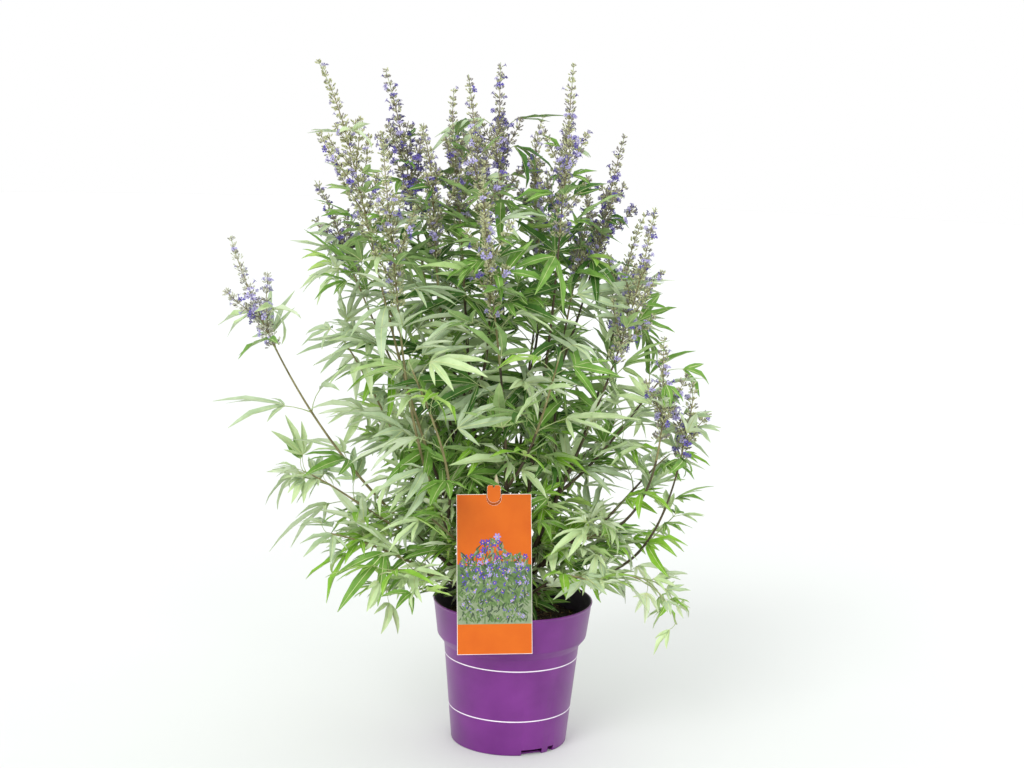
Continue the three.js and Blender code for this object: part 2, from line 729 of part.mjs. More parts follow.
function labelGroup() {
  const settings = { depth: LABEL_THICKNESS, bevelEnabled: false, curveSegments: 6 };
  const front = new THREE.ExtrudeGeometry(cardShape(), settings).translate(0, 0, -LABEL_THICKNESS / 2);
  const back = new THREE.ExtrudeGeometry(tongueShape(), settings).translate(0, 0, -LABEL_THICKNESS * 1.4);
  const mesh = named("card_label", fuse([front, back]), MATERIALS.card);
  mesh.rotation.z = radians(LABEL_ROLL);
  const leaning = new THREE.Group();
  leaning.rotation.x = radians(90 - LABEL_LEAN);
  leaning.add(mesh);
  const group = new THREE.Group();
  group.rotation.z = radians(LABEL_YAW);
  group.position.copy(LABEL_CENTRE);
  group.add(leaning);
  return group;
}

// The solids of a group's meshes where they stand.
function inPlace(group) {
  group.updateMatrixWorld(true);
  const solids = [];
  group.traverse((object) => {
    if (object.isMesh) {
      solids.push(solid(object.geometry.clone().applyMatrix4(object.matrixWorld)));
    }
  });
  return solids;
}

// Side spikes first, then the leaves: each mass in turn gets its lowest pair, then its next.
function furnish(masses, taken) {
  const isInSpace = (point, mass) => {
    const farthest = Math.max(CROWN_REACH, mass.reach + (mass.spike ? SPIRE_LEAF_REACH : LEAF_REACH));
    if (Math.hypot(point.x, point.y) > farthest || !offLabel(point)) {
      return false;
    }
    const room = distance(point, mass.spine) - OVERREACH;
    return masses.every((other) => other === mass || distance(point, other.spine) > room);
  };
  for (const mass of masses.filter(({ spike }) => spike)) {
    const turn = mass.random() * 360;
    [-1, 1].forEach((side) => addIfFree(mass, sideSpike(mass, turn, side), taken, isInSpace));
  }
  const most = Math.max(...masses.map(({ pairs }) => pairs));
  for (let pair = 0; pair < most; pair += 1) {
    masses.filter(({ pairs }) => pair < pairs).forEach((mass) => leafPair(mass, pair, taken, isInSpace));
  }
}

// The shoots of a bough, each with its curve.
function boughShoots({ curve, geometry, shoots }) {
  const wood = solid(geometry);
  return shoots.map((row, i) => {
    const side = (offset) => sideCurve(row, curve, offset);
    return { ...row, curve: i === 0 ? leadingCurve(row, curve) : seated(row, wood, side) };
  });
}

function plantGroup(obstacles) {
  const trunk = surface(solid(trunkGeometry(0)));
  const stub = boughGeometry(boughCurve(CUT_STEM), CUT_STEM.radius, CUT_STEM.radius);
  const boughs = [...BOUGHS, ...backRing()].map((row) => {
    const curve = boughCurve(row);
    return { ...row, curve, geometry: boughGeometry(curve, BOUGH_RADIUS, BOUGH_TIP_RADIUS) };
  });
  const trunkSolid = solid(trunk);
  const skirt = SKIRT.map((row) => {
    const curve = seated(row, trunkSolid, (offset) => skirtCurve(row, offset));
    return { ...row, curve };
  });
  const masses = [...boughs.flatMap(boughShoots), ...skirt].map((row, i) => startMass(row, SEED + i * 97));

  const group = new THREE.Group();
  group.position.set(TRUNK_X, 0, SOIL_HEIGHT + CLEARANCE);
  group.add(named("trunk", trunk, MATERIALS.bark), named("cut_stem", stub, MATERIALS.cutWood));
  group.add(...boughs.map(({ name, geometry }) => named(`bough_${name}`, geometry, MATERIALS.bark)));

  const taken = new Taken();
  group.children.forEach(({ geometry }) => taken.add(solid(geometry)));
  obstacles.forEach((obstacle) => taken.add(obstacle.translate(-TRUNK_X, 0, -SOIL_HEIGHT - CLEARANCE)));
  masses.flatMap(({ pieces }) => pieces).forEach((piece) => taken.add(piece));
  furnish(masses, taken);
  for (const { name, pieces, spike } of masses) {
    const joined = surface(wasm.Manifold.union(pieces));
    group.add(named(name, joined, spike ? MATERIALS.blossom : MATERIALS.leaf));
  }
  return group;
}

const group = new THREE.Group();
const pot = potGroup();
const label = labelGroup();
group.add(pot, label);
group.add(plantGroup(inPlace(pot).concat(inPlace(label))));

export default group;
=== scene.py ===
"""A young chaste tree in flower in a nursery pot: its bark, leaves, blossom, soil, pot and card label.

Sizes are in millimetres until a mesh is finished, when they become metres. The plant's own coordinates
count from the trunk's foot, and the pot's from the centre of its flat underside.
"""

import json
import logging
import math
from dataclasses import dataclass, field
from enum import Enum
from typing import Callable, Optional, Union

import bmesh
import bpy
import numpy as np
from mathutils import Matrix, Vector, noise

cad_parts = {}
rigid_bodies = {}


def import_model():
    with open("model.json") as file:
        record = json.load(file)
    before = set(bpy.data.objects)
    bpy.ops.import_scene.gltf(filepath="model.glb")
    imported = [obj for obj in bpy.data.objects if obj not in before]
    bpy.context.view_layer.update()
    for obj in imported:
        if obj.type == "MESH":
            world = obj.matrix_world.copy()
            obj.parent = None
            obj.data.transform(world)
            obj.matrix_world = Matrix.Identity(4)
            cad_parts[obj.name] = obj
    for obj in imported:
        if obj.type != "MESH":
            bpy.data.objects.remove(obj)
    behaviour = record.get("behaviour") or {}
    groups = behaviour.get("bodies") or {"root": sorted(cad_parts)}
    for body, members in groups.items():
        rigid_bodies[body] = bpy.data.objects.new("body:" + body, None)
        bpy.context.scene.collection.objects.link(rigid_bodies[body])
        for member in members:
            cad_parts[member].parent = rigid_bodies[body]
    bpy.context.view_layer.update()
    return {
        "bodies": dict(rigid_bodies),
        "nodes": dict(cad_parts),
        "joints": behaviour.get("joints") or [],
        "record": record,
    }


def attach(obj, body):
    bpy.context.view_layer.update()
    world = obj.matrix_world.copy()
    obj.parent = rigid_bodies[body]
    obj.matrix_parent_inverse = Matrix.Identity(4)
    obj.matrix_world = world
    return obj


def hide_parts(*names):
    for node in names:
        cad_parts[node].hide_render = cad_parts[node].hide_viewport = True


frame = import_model()
log = logging.getLogger("chaste_tree")

MM = 0.001
UP = np.array([0.0, 0.0, 1.0])
CLEARANCE = 0.3
WELD = 1e-4
SEED = 2711
SEED_STEP = 97

Array = np.ndarray
Numbers = tuple[float, ...]
Span = tuple[float, float]
Spans = tuple[Span, ...]
Outline = list[Span]
Shape = tuple[Array, Array]
Model = bmesh.types.BMesh
Piece = bpy.types.Object
Tree = bpy.types.NodeTree
Socket = bpy.types.NodeSocket
Value = Union[float, tuple, Socket]


# Colours and finishes


def linear(code: str) -> tuple[float, float, float, float]:
    """Returns an sRGB hex colour, such as "#8a3a9c", as the linear colour that a shader takes."""
    channels = [int(code[i:i + 2], 16) / 255 for i in (1, 3, 5)]
    curved = [c / 12.92 if c <= 0.04045 else ((c + 0.055) / 1.055) ** 2.4 for c in channels]
    return (*curved, 1.0)


def add_node(tree: Tree, kind: str, inputs: dict[Union[str, int], Value],
             **settings: object) -> bpy.types.Node:
    """Adds a node to a material with its settings, input values and links.

    Args:
        tree: The material's nodes.
        kind: Blender's name for the kind of node.
        inputs: A value or another node's output for each input, by name or number.
        **settings: The node's own properties.

    Returns:
        The new node.
    """
    node = tree.nodes.new(kind)
    for key, setting in settings.items():
        setattr(node, key, setting)
    for key, value in inputs.items():
        if isinstance(value, Socket):
            tree.links.new(value, node.inputs[key])
        else:
            node.inputs[key].default_value = value
    return node


def own_space(tree: Tree, scale: Numbers) -> Socket:
    """Returns the place on the object in its own space, scaled along each axis."""
    spot = add_node(tree, "ShaderNodeTexCoord", {}).outputs["Object"]
    return add_node(tree, "ShaderNodeMapping", {"Vector": spot, "Scale": scale}).outputs[0]


@dataclass(frozen=True)
class Finish:
    """A real material whose colour wanders a little between two tones, with a fine relief.

    Grain is the size of the wandering in millimetres, and stretch is how much longer it is along each axis.
    Relief is the height of the fine bumps, and relief_grain is their size. SPAN is the middle part of the
    cloudy pattern, over which the colour goes from the low tone to the high one.
    """

    SPAN = (0.3, 0.7)

    name: str
    low: str
    high: str
    roughness: float = 0.5
    ior: float = 1.45
    grain: float = 10.0
    detail: float = 3.0
    relief_grain: float = 1.0
    relief: float = 0.05
    stretch: tuple[float, float, float] = (1.0, 1.0, 1.0)
    sheen: float = 0.0
    coat: float = 0.0

    def wander(self, tree: Tree, grain: float) -> Socket:
        """Returns a cloudy pattern from 0 to 1, with its grain in millimetres of the object's own space."""
        scale = tuple(1.0 / part for part in self.stretch)
        inputs = {"Vector": own_space(tree, scale), "Scale": 1.0 / (grain * MM), "Detail": self.detail}
        return add_node(tree, "ShaderNodeTexNoise", inputs).outputs[0]

    def surface(self, tree: Tree) -> dict[str, Value]:
        """Lays the nodes of the surface.

        Args:
            tree: The material's nodes.

        Returns:
            A value or a node's output for each of the shader's inputs that this finish sets.
        """
        limits = {0: self.wander(tree, self.grain), 1: self.SPAN[0], 2: self.SPAN[1]}
        spread = add_node(tree, "ShaderNodeMapRange", limits).outputs[0]
        tones = {0: spread, 6: linear(self.low), 7: linear(self.high)}
        colour = add_node(tree, "ShaderNodeMix", tones, data_type="RGBA").outputs[2]
        height = self.wander(tree, self.relief_grain)
        bumps = {"Height": height, "Distance": self.relief * MM}
        bump = add_node(tree, "ShaderNodeBump", bumps).outputs[0]
        return {"Base Color": colour, "Normal": bump, "Roughness": self.roughness, "IOR": self.ior,
                "Sheen Weight": self.sheen, "Coat Weight": self.coat}

    def material(self) -> bpy.types.Material:
        """Returns this finish as a material, which is made the first time that it is asked for."""
        known = bpy.data.materials.get(self.name)
        if known is not None:
            return known
        material = bpy.data.materials.new(self.name)
        material.use_nodes = True
        tree = material.node_tree
        tree.nodes.clear()
        shader = add_node(tree, "ShaderNodeBsdfPrincipled", self.surface(tree))
        add_node(tree, "ShaderNodeOutputMaterial", {"Surface": shader.outputs[0]})
        return material


@dataclass(frozen=True)
class FissuredBark(Finish):
    """Bark of the older wood: fine ridges run along the limb, with furrows between them."""

    ridge: float = 1.6
    ridge_depth: float = 0.35
    ridge_squeeze: float = 0.16

    def surface(self, tree: Tree) -> dict[str, Value]:
        """Lays the nodes of the surface, with long ridges in its relief.

        Args:
            tree: The material's nodes.

        Returns:
            The shader's inputs.
        """
        inputs = super().surface(tree)
        along = own_space(tree, (1.0, 1.0, self.ridge_squeeze))
        cells = {"Vector": along, "Scale": 1.0 / (self.ridge * MM)}
        ridges = add_node(tree, "ShaderNodeTexVoronoi", cells, feature="DISTANCE_TO_EDGE").outputs[0]
        depth = {"Height": ridges, "Distance": self.ridge_depth * MM, "Normal": inputs["Normal"]}
        inputs["Normal"] = add_node(tree, "ShaderNodeBump", depth).outputs[0]
        return inputs


@dataclass(frozen=True)
class PrintedInk(Finish):
    """Offset ink on coated card: even and smooth, and less glossy than the bare card."""

    ior: float = 1.3
    grain: float = 6.0
    relief: float = 0.008


@dataclass(frozen=True)
class CalyxFelt(Finish):
    """The downy skin of a calyx: dull, with a pale rim of hairs, and no two calyces of quite one colour."""

    roughness: float = 0.85
    ior: float = 1.3
    grain: float = 5.0
    relief: float = 0.1
    sheen: float = 0.2


@dataclass(frozen=True)
class PetalSkin(Finish):
    """The thin skin of a petal: soft, with a velvety bloom."""

    roughness: float = 0.55
    ior: float = 1.3
    grain: float = 4.0
    relief: float = 0.05
    sheen: float = 0.25


@dataclass(frozen=True)
class LeafCuticle(Finish):
    """The smooth upper skin of a leaf, uneven between its veins."""

    ior: float = 1.33
    grain: float = 16.0
    relief_grain: float = 2.2
    relief: float = 0.12


@dataclass(frozen=True)
class LeafDown(Finish):
    """The underside of a leaf: paler than the top, and dull with down."""

    roughness: float = 0.8
    ior: float = 1.3
    grain: float = 16.0
    relief_grain: float = 1.8
    relief: float = 0.15
    sheen: float = 0.1


# Moulded polypropylene: satin, with a faintly cloudy pigment and a grain that breaks the highlights
POT_VIOLET = Finish("moulded_polypropylene_violet", "#641472", "#752483", roughness=0.38, ior=1.5,
                    grain=55, relief_grain=0.9, relief=0.02, coat=0.14)
# The same plastic inside, coloured near-black as painted shade, so that the pot's mouth looks deep
POT_INSIDE_PAINTED_SHADE = Finish("polypropylene_inside_painted_shade", "#17101a", "#2e1d33", roughness=0.6, ior=1.49, grain=14,
                    relief=0.06)
# Screen printed white ink: a thin matt line
POT_INK = Finish("screen_print_ink_white", "#e6dbea", "#f4eef6", roughness=0.45, grain=8, relief=0.01)
# Moist peat and bark: nearly black, with no gloss at all
PEAT = Finish("moist_peat", "#1c1510", "#3d2f23", roughness=0.95, grain=5, detail=6, relief_grain=2.2,
              relief=0.9)
PEAT_CRUMB = Finish("peat_crumbs", "#2a2018", "#56422f", roughness=0.92, grain=4, relief_grain=1,
                    relief=0.3)
BARK_FIBRE = Finish("composted_bark_fibre", "#5b4630", "#937650", roughness=0.85, grain=3, relief=0.15)
# Coated card, white where it is cut and where nothing is printed on it
CARD_CORE = Finish("coated_card_white", "#efe9e2", "#fbf8f4", roughness=0.5, grain=20, relief=0.01)
# The label's inks: strong orange, darker orange as painted shade on the tongue, four greens, three flower
# colours
INK_ORANGE = PrintedInk("offset_ink_orange", "#c65a06", "#cd620a", grain=30)
INK_TONGUE_PAINTED_SHADE = PrintedInk("offset_ink_orange_painted_shade", "#93420a", "#a04c0e", roughness=0.55, grain=20,
                        relief=0.01)
INK_MEADOW = PrintedInk("offset_ink_meadow_green", "#577340", "#6f8a53")
INK_SAGE = PrintedInk("offset_ink_sage_green", "#788a64", "#8f9a80")
INK_MOSS = PrintedInk("offset_ink_moss_green", "#496638", "#5e7a48")
INK_DUSK = PrintedInk("offset_ink_dusky_green", "#384a34", "#495a42")
INK_VIOLET = PrintedInk("offset_ink_violet", "#4b3a9a", "#6350b4", grain=4)
INK_LILAC = PrintedInk("offset_ink_lilac", "#8d80c4", "#a99dd6", grain=4)
INK_GOLD = PrintedInk("offset_ink_gold", "#e8b23a", "#f3c65a", grain=4)
# Bark of the old wood: dull and dark brown, wandering to greyer, fissured along the stem
BARK = FissuredBark("fissured_shrub_bark", "#382d24", "#5f5040", roughness=0.85, grain=7, relief_grain=0.8,
                    relief=0.25, stretch=(1.0, 1.0, 4.0))
# A peeled and dried cut end: pale and dull
CUT_WOOD = Finish("peeled_dry_wood", "#e2d6ae", "#f0e7c8", roughness=0.8, grain=3, relief_grain=0.6,
                  relief=0.15, stretch=(1.0, 1.0, 8.0))
# Skin of this year's stems: brown at the foot, olive where it ripens, grey-green and downy at the tip
STEM_WOODY = Finish("young_wood_skin", "#3a3126", "#5f533c", roughness=0.7, grain=12, relief_grain=1.2,
                    relief=0.2, stretch=(1.0, 1.0, 4.0))
STEM_RIPE = Finish("ripening_stem_skin", "#6a6240", "#968d62", roughness=0.65, grain=12, relief_grain=1.4,
                   relief=0.12, stretch=(1.0, 1.0, 3.0))
STEM_GREEN = Finish("downy_stem_skin", "#7f8f5c", "#a0ab78", roughness=0.7, grain=14, relief=0.05,
                    sheen=0.15)
# The leaves' stalks, and their ribs, which stand out pale on the green blades
STALK_SKIN = Finish("leaf_stalk_skin", "#8fa264", "#adb981", roughness=0.65, grain=12, relief=0.05,
                    sheen=0.1)
RIB_SKIN = Finish("leaf_rib_skin", "#bccb88", "#d3dca4", roughness=0.6, grain=10, relief=0.03)
# Downy calyces: yellow-green, flushed a greyish violet, and bleached on faded spires
CALYX_GREEN = CalyxFelt("calyx_felt_olive", "#7b8250", "#d9dcae")
CALYX_GREY = CalyxFelt("calyx_felt_grey_violet", "#524d48", "#aaa59f")
CALYX_PALE = CalyxFelt("calyx_felt_pale", "#a6a892", "#d9dac6")
# Petals: violet-blue when fresh, lilac when they age
PETAL_DEEP = PetalSkin("petal_skin_violet_blue", "#443a89", "#665aab")
PETAL_LILAC = PetalSkin("petal_skin_lilac", "#8a83b9", "#b2abd1")
# Matt white studio floor
STUDIO_FLOOR = Finish("studio_vinyl_white", "#dcdfdd", "#dfe2e0", roughness=0.8, grain=900, relief_grain=4,
                      relief=0.01)


class Tone(Enum):
    """Leaf tones, each with the finish of the upper side and of the paler, downy underside."""

    DEEP = ("deep", "#375f23", "#507b32", "#80a25a", "#99b874")
    MID = ("mid", "#5d8a32", "#7aa349", "#96b76c", "#adc785")
    GREY = ("grey", "#9cb389", "#b8caa7", "#c0cfa9", "#d2debe")
    FRESH = ("fresh", "#73a52a", "#91bf46", "#a2c95e", "#b9d67c")
    PALE = ("pale", "#aec78d", "#c6d8a9", "#ccdcb4", "#dce8ca")

    def finishes(self) -> list[Finish]:
        """Returns the finishes of the upper side, the underside and the midrib."""
        label, low, high, under_low, under_high = self.value
        upper = LeafCuticle(f"leaf_cuticle_{label}", low, high)
        under = LeafDown(f"leaf_down_{label}", under_low, under_high)
        return [upper, under, RIB_SKIN]


class Bloom(Enum):
    """How far a spire is in flower: its shares of violet flowers, lilac flowers and grey-violet calyces.

    The other calyces of a faded spire are pale, and those of the rest are green.
    """

    DEEP = (0.11, 0.05, 0.62)
    LILAC = (0.037, 0.08, 0.36)
    DUSKY = (0.016, 0.06, 0.46)
    FADED = (0.008, 0.12, 0.20)
    PALE = (0.011, 0.062, 0.10)


# Numbers, directions and curves


class Stream:
    """A repeatable stream of numbers from 0 to 1."""

    def __init__(self, seed: int) -> None:
        """Starts the stream at its seed."""
        self.state = seed

    def draw(self) -> float:
        """Returns the next number."""
        self.state = self.state * 16807 % 2147483647
        return self.state / 2147483647

    def between(self, low: float, high: float) -> float:
        """Returns the next number, spread from low to high."""
        return low + (high - low) * self.draw()

    def give_or_take(self, most: float) -> float:
        """Returns the next number, spread evenly to both sides of zero."""
        return (self.draw() * 2 - 1) * most


def lerp(first: float, last: float, share: float) -> float:
    """Returns the value a share of the way from first to last."""
    return first + (last - first) * share


def unit(vector: Array) -> Array:
    """Returns a vector's direction."""
    return vector / np.linalg.norm(vector)


def aim(heading: float, steepness: float) -> Array:
    """Returns the direction with a heading from +X and a steepness above level, both in degrees."""
    level = math.cos(math.radians(steepness))
    turn = math.radians(heading)
    return np.array([math.cos(turn) * level, math.sin(turn) * level, math.sin(math.radians(steepness))])


def place(heading: float, reach: float, rise: float) -> Array:
    """Returns the point at a heading, a reach from the upright axis, and a rise."""
    return aim(heading, 0) * reach + UP * rise


def off_axis(vector: Array, axis: Array) -> Array:
    """Returns the direction of the part of a vector that stands square to an axis."""
    return unit(vector - np.dot(vector, axis) * axis)


class Sweep:
    """A smooth curve that leaves one point and arrives at another in given directions.

    PULL is how firmly it keeps to them, STEPS is the number of its chords, NOD_POWER is how late a nod
    bends it, and PROBE is the share of its length to each side over which a tangent is taken.
    """

    PULL = 0.36
    STEPS = 160
    NOD_POWER = 2.2
    PROBE = 0.01

    def __init__(self, start: Array, end: Array, leaving: Array, arriving: Array) -> None:
        """Lays the curve and measures its length.

        Args:
            start: Where it starts.
            end: Where it ends.
            leaving: Its direction at its start.
            arriving: Its direction at its end.
        """
        pull = np.linalg.norm(end - start) * self.PULL
        first, second = start + leaving * pull, end - arriving * pull
        t = np.linspace(0, 1, self.STEPS + 1)[:, None]
        s = 1 - t
        self.line = s ** 3 * start + 3 * s * s * t * first + 3 * s * t * t * second + t ** 3 * end
        self.measure()

    def measure(self) -> None:
        """Measures how far along the curve each of its points lies."""
        steps = np.linalg.norm(np.diff(self.line, axis=0), axis=1)
        self.lengths = np.concatenate([[0.0], np.cumsum(steps)])
        self.length = float(self.lengths[-1])

    def nod(self, direction: Array, amount: float, share: float) -> None:
        """Bends the curve over past a share of its length, so that its tip moves by an amount."""
        past = np.clip((self.lengths / self.length - share) / (1 - share), 0, 1)
        self.line = self.line + direction * amount * past[:, None] ** self.NOD_POWER
        self.measure()

    def points(self, shares: Array) -> Array:
        """Returns the points at shares of the curve's length."""
        wanted = np.asarray(shares, float) * self.length
        return np.stack([np.interp(wanted, self.lengths, self.line[:, i]) for i in range(3)], axis=-1)

    def point(self, share: float) -> Array:
        """Returns the point at a share of the curve's length."""
        return self.points(np.array([share]))[0]

    def at(self, share: float) -> Shape:
        """Returns the point and the direction at a share of the curve's length."""
        return self.point(share), self.tangent(share)

    def tangent(self, share: float) -> Array:
        """Returns the curve's direction at a share of its length."""
        low, high = max(0.0, share - self.PROBE), min(1.0, share + self.PROBE)
        return unit(self.point(high) - self.point(low))


# Meshes


class Pile:
    """Many small shapes of triangles, gathered as arrays and joined in one mesh."""

    def __init__(self) -> None:
        """Starts an empty pile."""
        self.corners: list[Array] = []
        self.faces: list[Array] = []
        self.finishes: list[Array] = []
        self.count = 0

    def add(self, shape: Shape, finish: Union[int, Array] = 0) -> None:
        """Adds a shape in millimetres, with a finish's number for all of its triangles or for each."""
        corners, faces = shape
        self.corners.append(corners)
        self.faces.append(faces + self.count)
        self.finishes.append(np.broadcast_to(np.asarray(finish, np.int32), len(faces)))
        self.count += len(corners)

    def piece(self, name: str, finishes: list[Finish]) -> Piece:
        """Joins the pile.

        Args:
            name: The new piece's name.
            finishes: Its finishes, by number.

        Returns:
            The piece, smooth shaded, in metres.
        """
        mesh = bpy.data.meshes.new(name)
        mesh.from_pydata(np.concatenate(self.corners) * MM, [], np.concatenate(self.faces))
        mesh.polygons.foreach_set("material_index", np.concatenate(self.finishes))
        mesh.shade_smooth()
        return shown(name, mesh, finishes)


def linked(name: str, data: bpy.types.ID) -> Piece:
    """Puts a mesh, lamp or camera in the scene, at the origin."""
    thing = bpy.data.objects.new(name, data)
    bpy.context.scene.collection.objects.link(thing)
    return thing


def turned(degrees: float, axis: str) -> Matrix:
    """Returns the matrix of a turn about one of the three axes."""
    return Matrix.Rotation(math.radians(degrees), 4, axis)


def meshed(name: str, shape: Model) -> bpy.types.Mesh:
    """Turns a modelled shape, which is used up, into a mesh."""
    mesh = bpy.data.meshes.new(name)
    shape.to_mesh(mesh)
    shape.free()
    return mesh


def shown(name: str, mesh: bpy.types.Mesh, finishes: list[Finish]) -> Piece:
    """Puts a mesh in the scene as a piece that rides with the plant.

    Args:
        name: The piece's name.
        mesh: Its mesh, in metres.
        finishes: Its finishes, by number.

    Returns:
        The piece.
    """
    for finish in finishes:
        mesh.materials.append(finish.material())
    piece = linked(name, mesh)
    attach(piece, "root")
    log.info("%s: %d triangles", name, sum(len(face.vertices) - 2 for face in mesh.polygons))
    return piece


def modelled(name: str, shape: Model, finishes: list[Finish], smooth: bool = True,
             matrix: Matrix = Matrix.Identity(4)) -> Piece:
    """Turns a modelled shape into a piece.

    Args:
        name: The piece's name.
        shape: The shape in millimetres, which is used up.
        finishes: Its finishes, by number.
        smooth: Whether its faces are smooth shaded.
        matrix: Where it stands, in millimetres.

    Returns:
        The piece, in metres.
    """
    bmesh.ops.transform(shape, matrix=Matrix.Scale(MM, 4) @ matrix, verts=shape.verts)
    for face in shape.faces:
        face.smooth = smooth
    return shown(name, meshed(name, shape), finishes)


def wrapped(sides: int, rings: int, at: Callable[[float, float], Vector]) -> Model:
    """Bends a grid into a closed skin.

    Args:
        sides: How many faces it has round.
        rings: How many faces it has along.
        at: Gives the point at a share round and a share along, the same at shares 0 and 1 round.

    Returns:
        The skin, with both ends filled and its faces outwards.
    """
    skin = bmesh.new()
    grid = bmesh.ops.create_grid(skin, x_segments=sides, y_segments=rings, size=1.0)
    for vertex in grid["verts"]:
        vertex.co = at((vertex.co.x + 1) / 2, (vertex.co.y + 1) / 2)
    bmesh.ops.remove_doubles(skin, verts=skin.verts, dist=WELD)
    bmesh.ops.holes_fill(skin, edges=[edge for edge in skin.edges if edge.is_boundary], sides=sides)
    bmesh.ops.recalc_face_normals(skin, faces=skin.faces)
    return skin


def spun(profile: Outline, steps: int) -> Model:
    """Turns a profile of radii and heights round the upright axis.

    Args:
        profile: The points of the profile, from its lowest middle point round to its highest.
        steps: How many faces it has round.

    Returns:
        The turned skin, closed on the axis where the profile meets it.
    """
    skin = bmesh.new()
    points = [skin.verts.new((radius, 0.0, height)) for radius, height in profile]
    edges = [skin.edges.new(pair) for pair in zip(points, points[1:])]
    bmesh.ops.spin(skin, geom=points + edges, axis=(0, 0, 1), cent=(0, 0, 0), angle=math.tau, steps=steps,
                   use_merge=True)
    bmesh.ops.remove_doubles(skin, verts=skin.verts, dist=WELD)
    bmesh.ops.recalc_face_normals(skin, faces=skin.faces)
    return skin


def softened(profile: Outline, radius: float) -> Outline:
    """Rounds the corners of a profile.

    Args:
        profile: The profile's points.
        radius: How far from each corner its round starts, at most 0.4 of the side next to it.

    Returns:
        The profile with three points for each inner corner.
    """
    most = 0.4
    points = [Vector(point) for point in profile]
    rounded = [points[0]]
    for before, corner, after in zip(points, points[1:], points[2:]):
        inward, outward = before - corner, after - corner
        first = corner + inward.normalized() * min(radius, inward.length * most)
        last = corner + outward.normalized() * min(radius, outward.length * most)
        rounded += [first, (first + corner * 2 + last) / 4, last]
    return [tuple(point) for point in [*rounded, points[-1]]]


def facing(direction: Array) -> Array:
    """Returns three square directions as columns, of which the last is the given one."""
    helper = np.eye(3)[int(np.argmin(np.abs(direction)))]
    across = off_axis(helper, direction)
    return np.stack([across, np.cross(direction, across), direction], axis=1)


def spoke(axes: Array, turn: float) -> Array:
    """Returns the direction at a turn, in radians, about the last of three square directions."""
    return axes[:, 0] * math.cos(turn) + axes[:, 1] * math.sin(turn)


def tube(line: Array, radii: Array, sides: int) -> Shape:
    """A round stem along a line, closed to a point at its tip.

    Args:
        line: The middle of each ring.
        radii: The radius of each ring.
        sides: How many sides it has.

    Returns:
        Its corners and triangles.
    """
    steps = np.gradient(line, axis=0)
    tangents = steps / np.linalg.norm(steps, axis=1, keepdims=True)
    helper = np.eye(3)[int(np.argmin(np.abs(tangents.mean(axis=0))))]
    normals = helper - (tangents @ helper)[:, None] * tangents
    normals /= np.linalg.norm(normals, axis=1, keepdims=True)
    sideways = np.cross(tangents, normals)
    turns = np.linspace(0, math.tau, sides, endpoint=False)[None, :, None]
    outwards = np.cos(turns) * normals[:, None] + np.sin(turns) * sideways[:, None]
    rims = line[:, None] + radii[:, None, None] * outwards
    tip = line[-1] + tangents[-1] * radii[-1]
    ring, side = np.meshgrid(np.arange(len(line) - 1), np.arange(sides), indexing="ij")
    a = (ring * sides + side).ravel()
    b = (ring * sides + (side + 1) % sides).ravel()
    walls = np.concatenate([np.stack([a, b, b + sides], 1), np.stack([a, b + sides, a + sides], 1)])
    last = (len(line) - 1) * sides + np.arange(sides)
    end = np.stack([last, np.roll(last, -1), np.full(sides, len(line) * sides)], 1)
    return np.concatenate([rims.reshape(-1, 3), tip[None]]), np.concatenate([walls, end])


def stood(shape: Shape, foot: Array, direction: Array, across: float, along: float) -> Shape:
    """Returns a small upright shape stood on a foot, with its axis turned and its two scales applied."""
    corners, faces = shape
    return corners * (across, across, along) @ facing(direction).T + foot, faces


# Growth


@dataclass(frozen=True)
class Shoot:
    """A mass of leaves, with a spire of blossom if it has a spike.

    Reach and rise are those of its tip, arrive is how steeply it ends, and spike is the spire's length.
    Openness widens the gaps between its leaves, and hanging is how many twigs hang from its end. Each pair
    of spire leaves has its distance from the tip, as a share of the spike, and its size.
    """

    name: str
    heading: float
    reach: float
    rise: float
    arrive: float
    spike: float = 0.0
    bloom: Bloom = Bloom.LILAC
    openness: float = 1.0
    nods_to: Optional[float] = None
    hanging: int = 0
    spire_leaves: Spans = ((1.02, 0.7), (0.86, 0.5), (0.66, 0.34))


@dataclass(frozen=True)
class Bough:
    """A limb from the trunk, with the shoots that it carries. The first shoot carries its own line on.

    Foot is how high it leaves the trunk, and leave and arrive are how steeply it starts and ends.
    """

    name: str
    heading: float
    reach: float
    rise: float
    foot: float
    leave: float
    arrive: float
    shoots: tuple[Shoot, ...] = ()
    twigginess: float = 1.0


@dataclass(frozen=True)
class Skirt(Shoot):
    """A low leafy shoot straight from the trunk."""

    foot: float = 10.0
    leave: float = 34.0


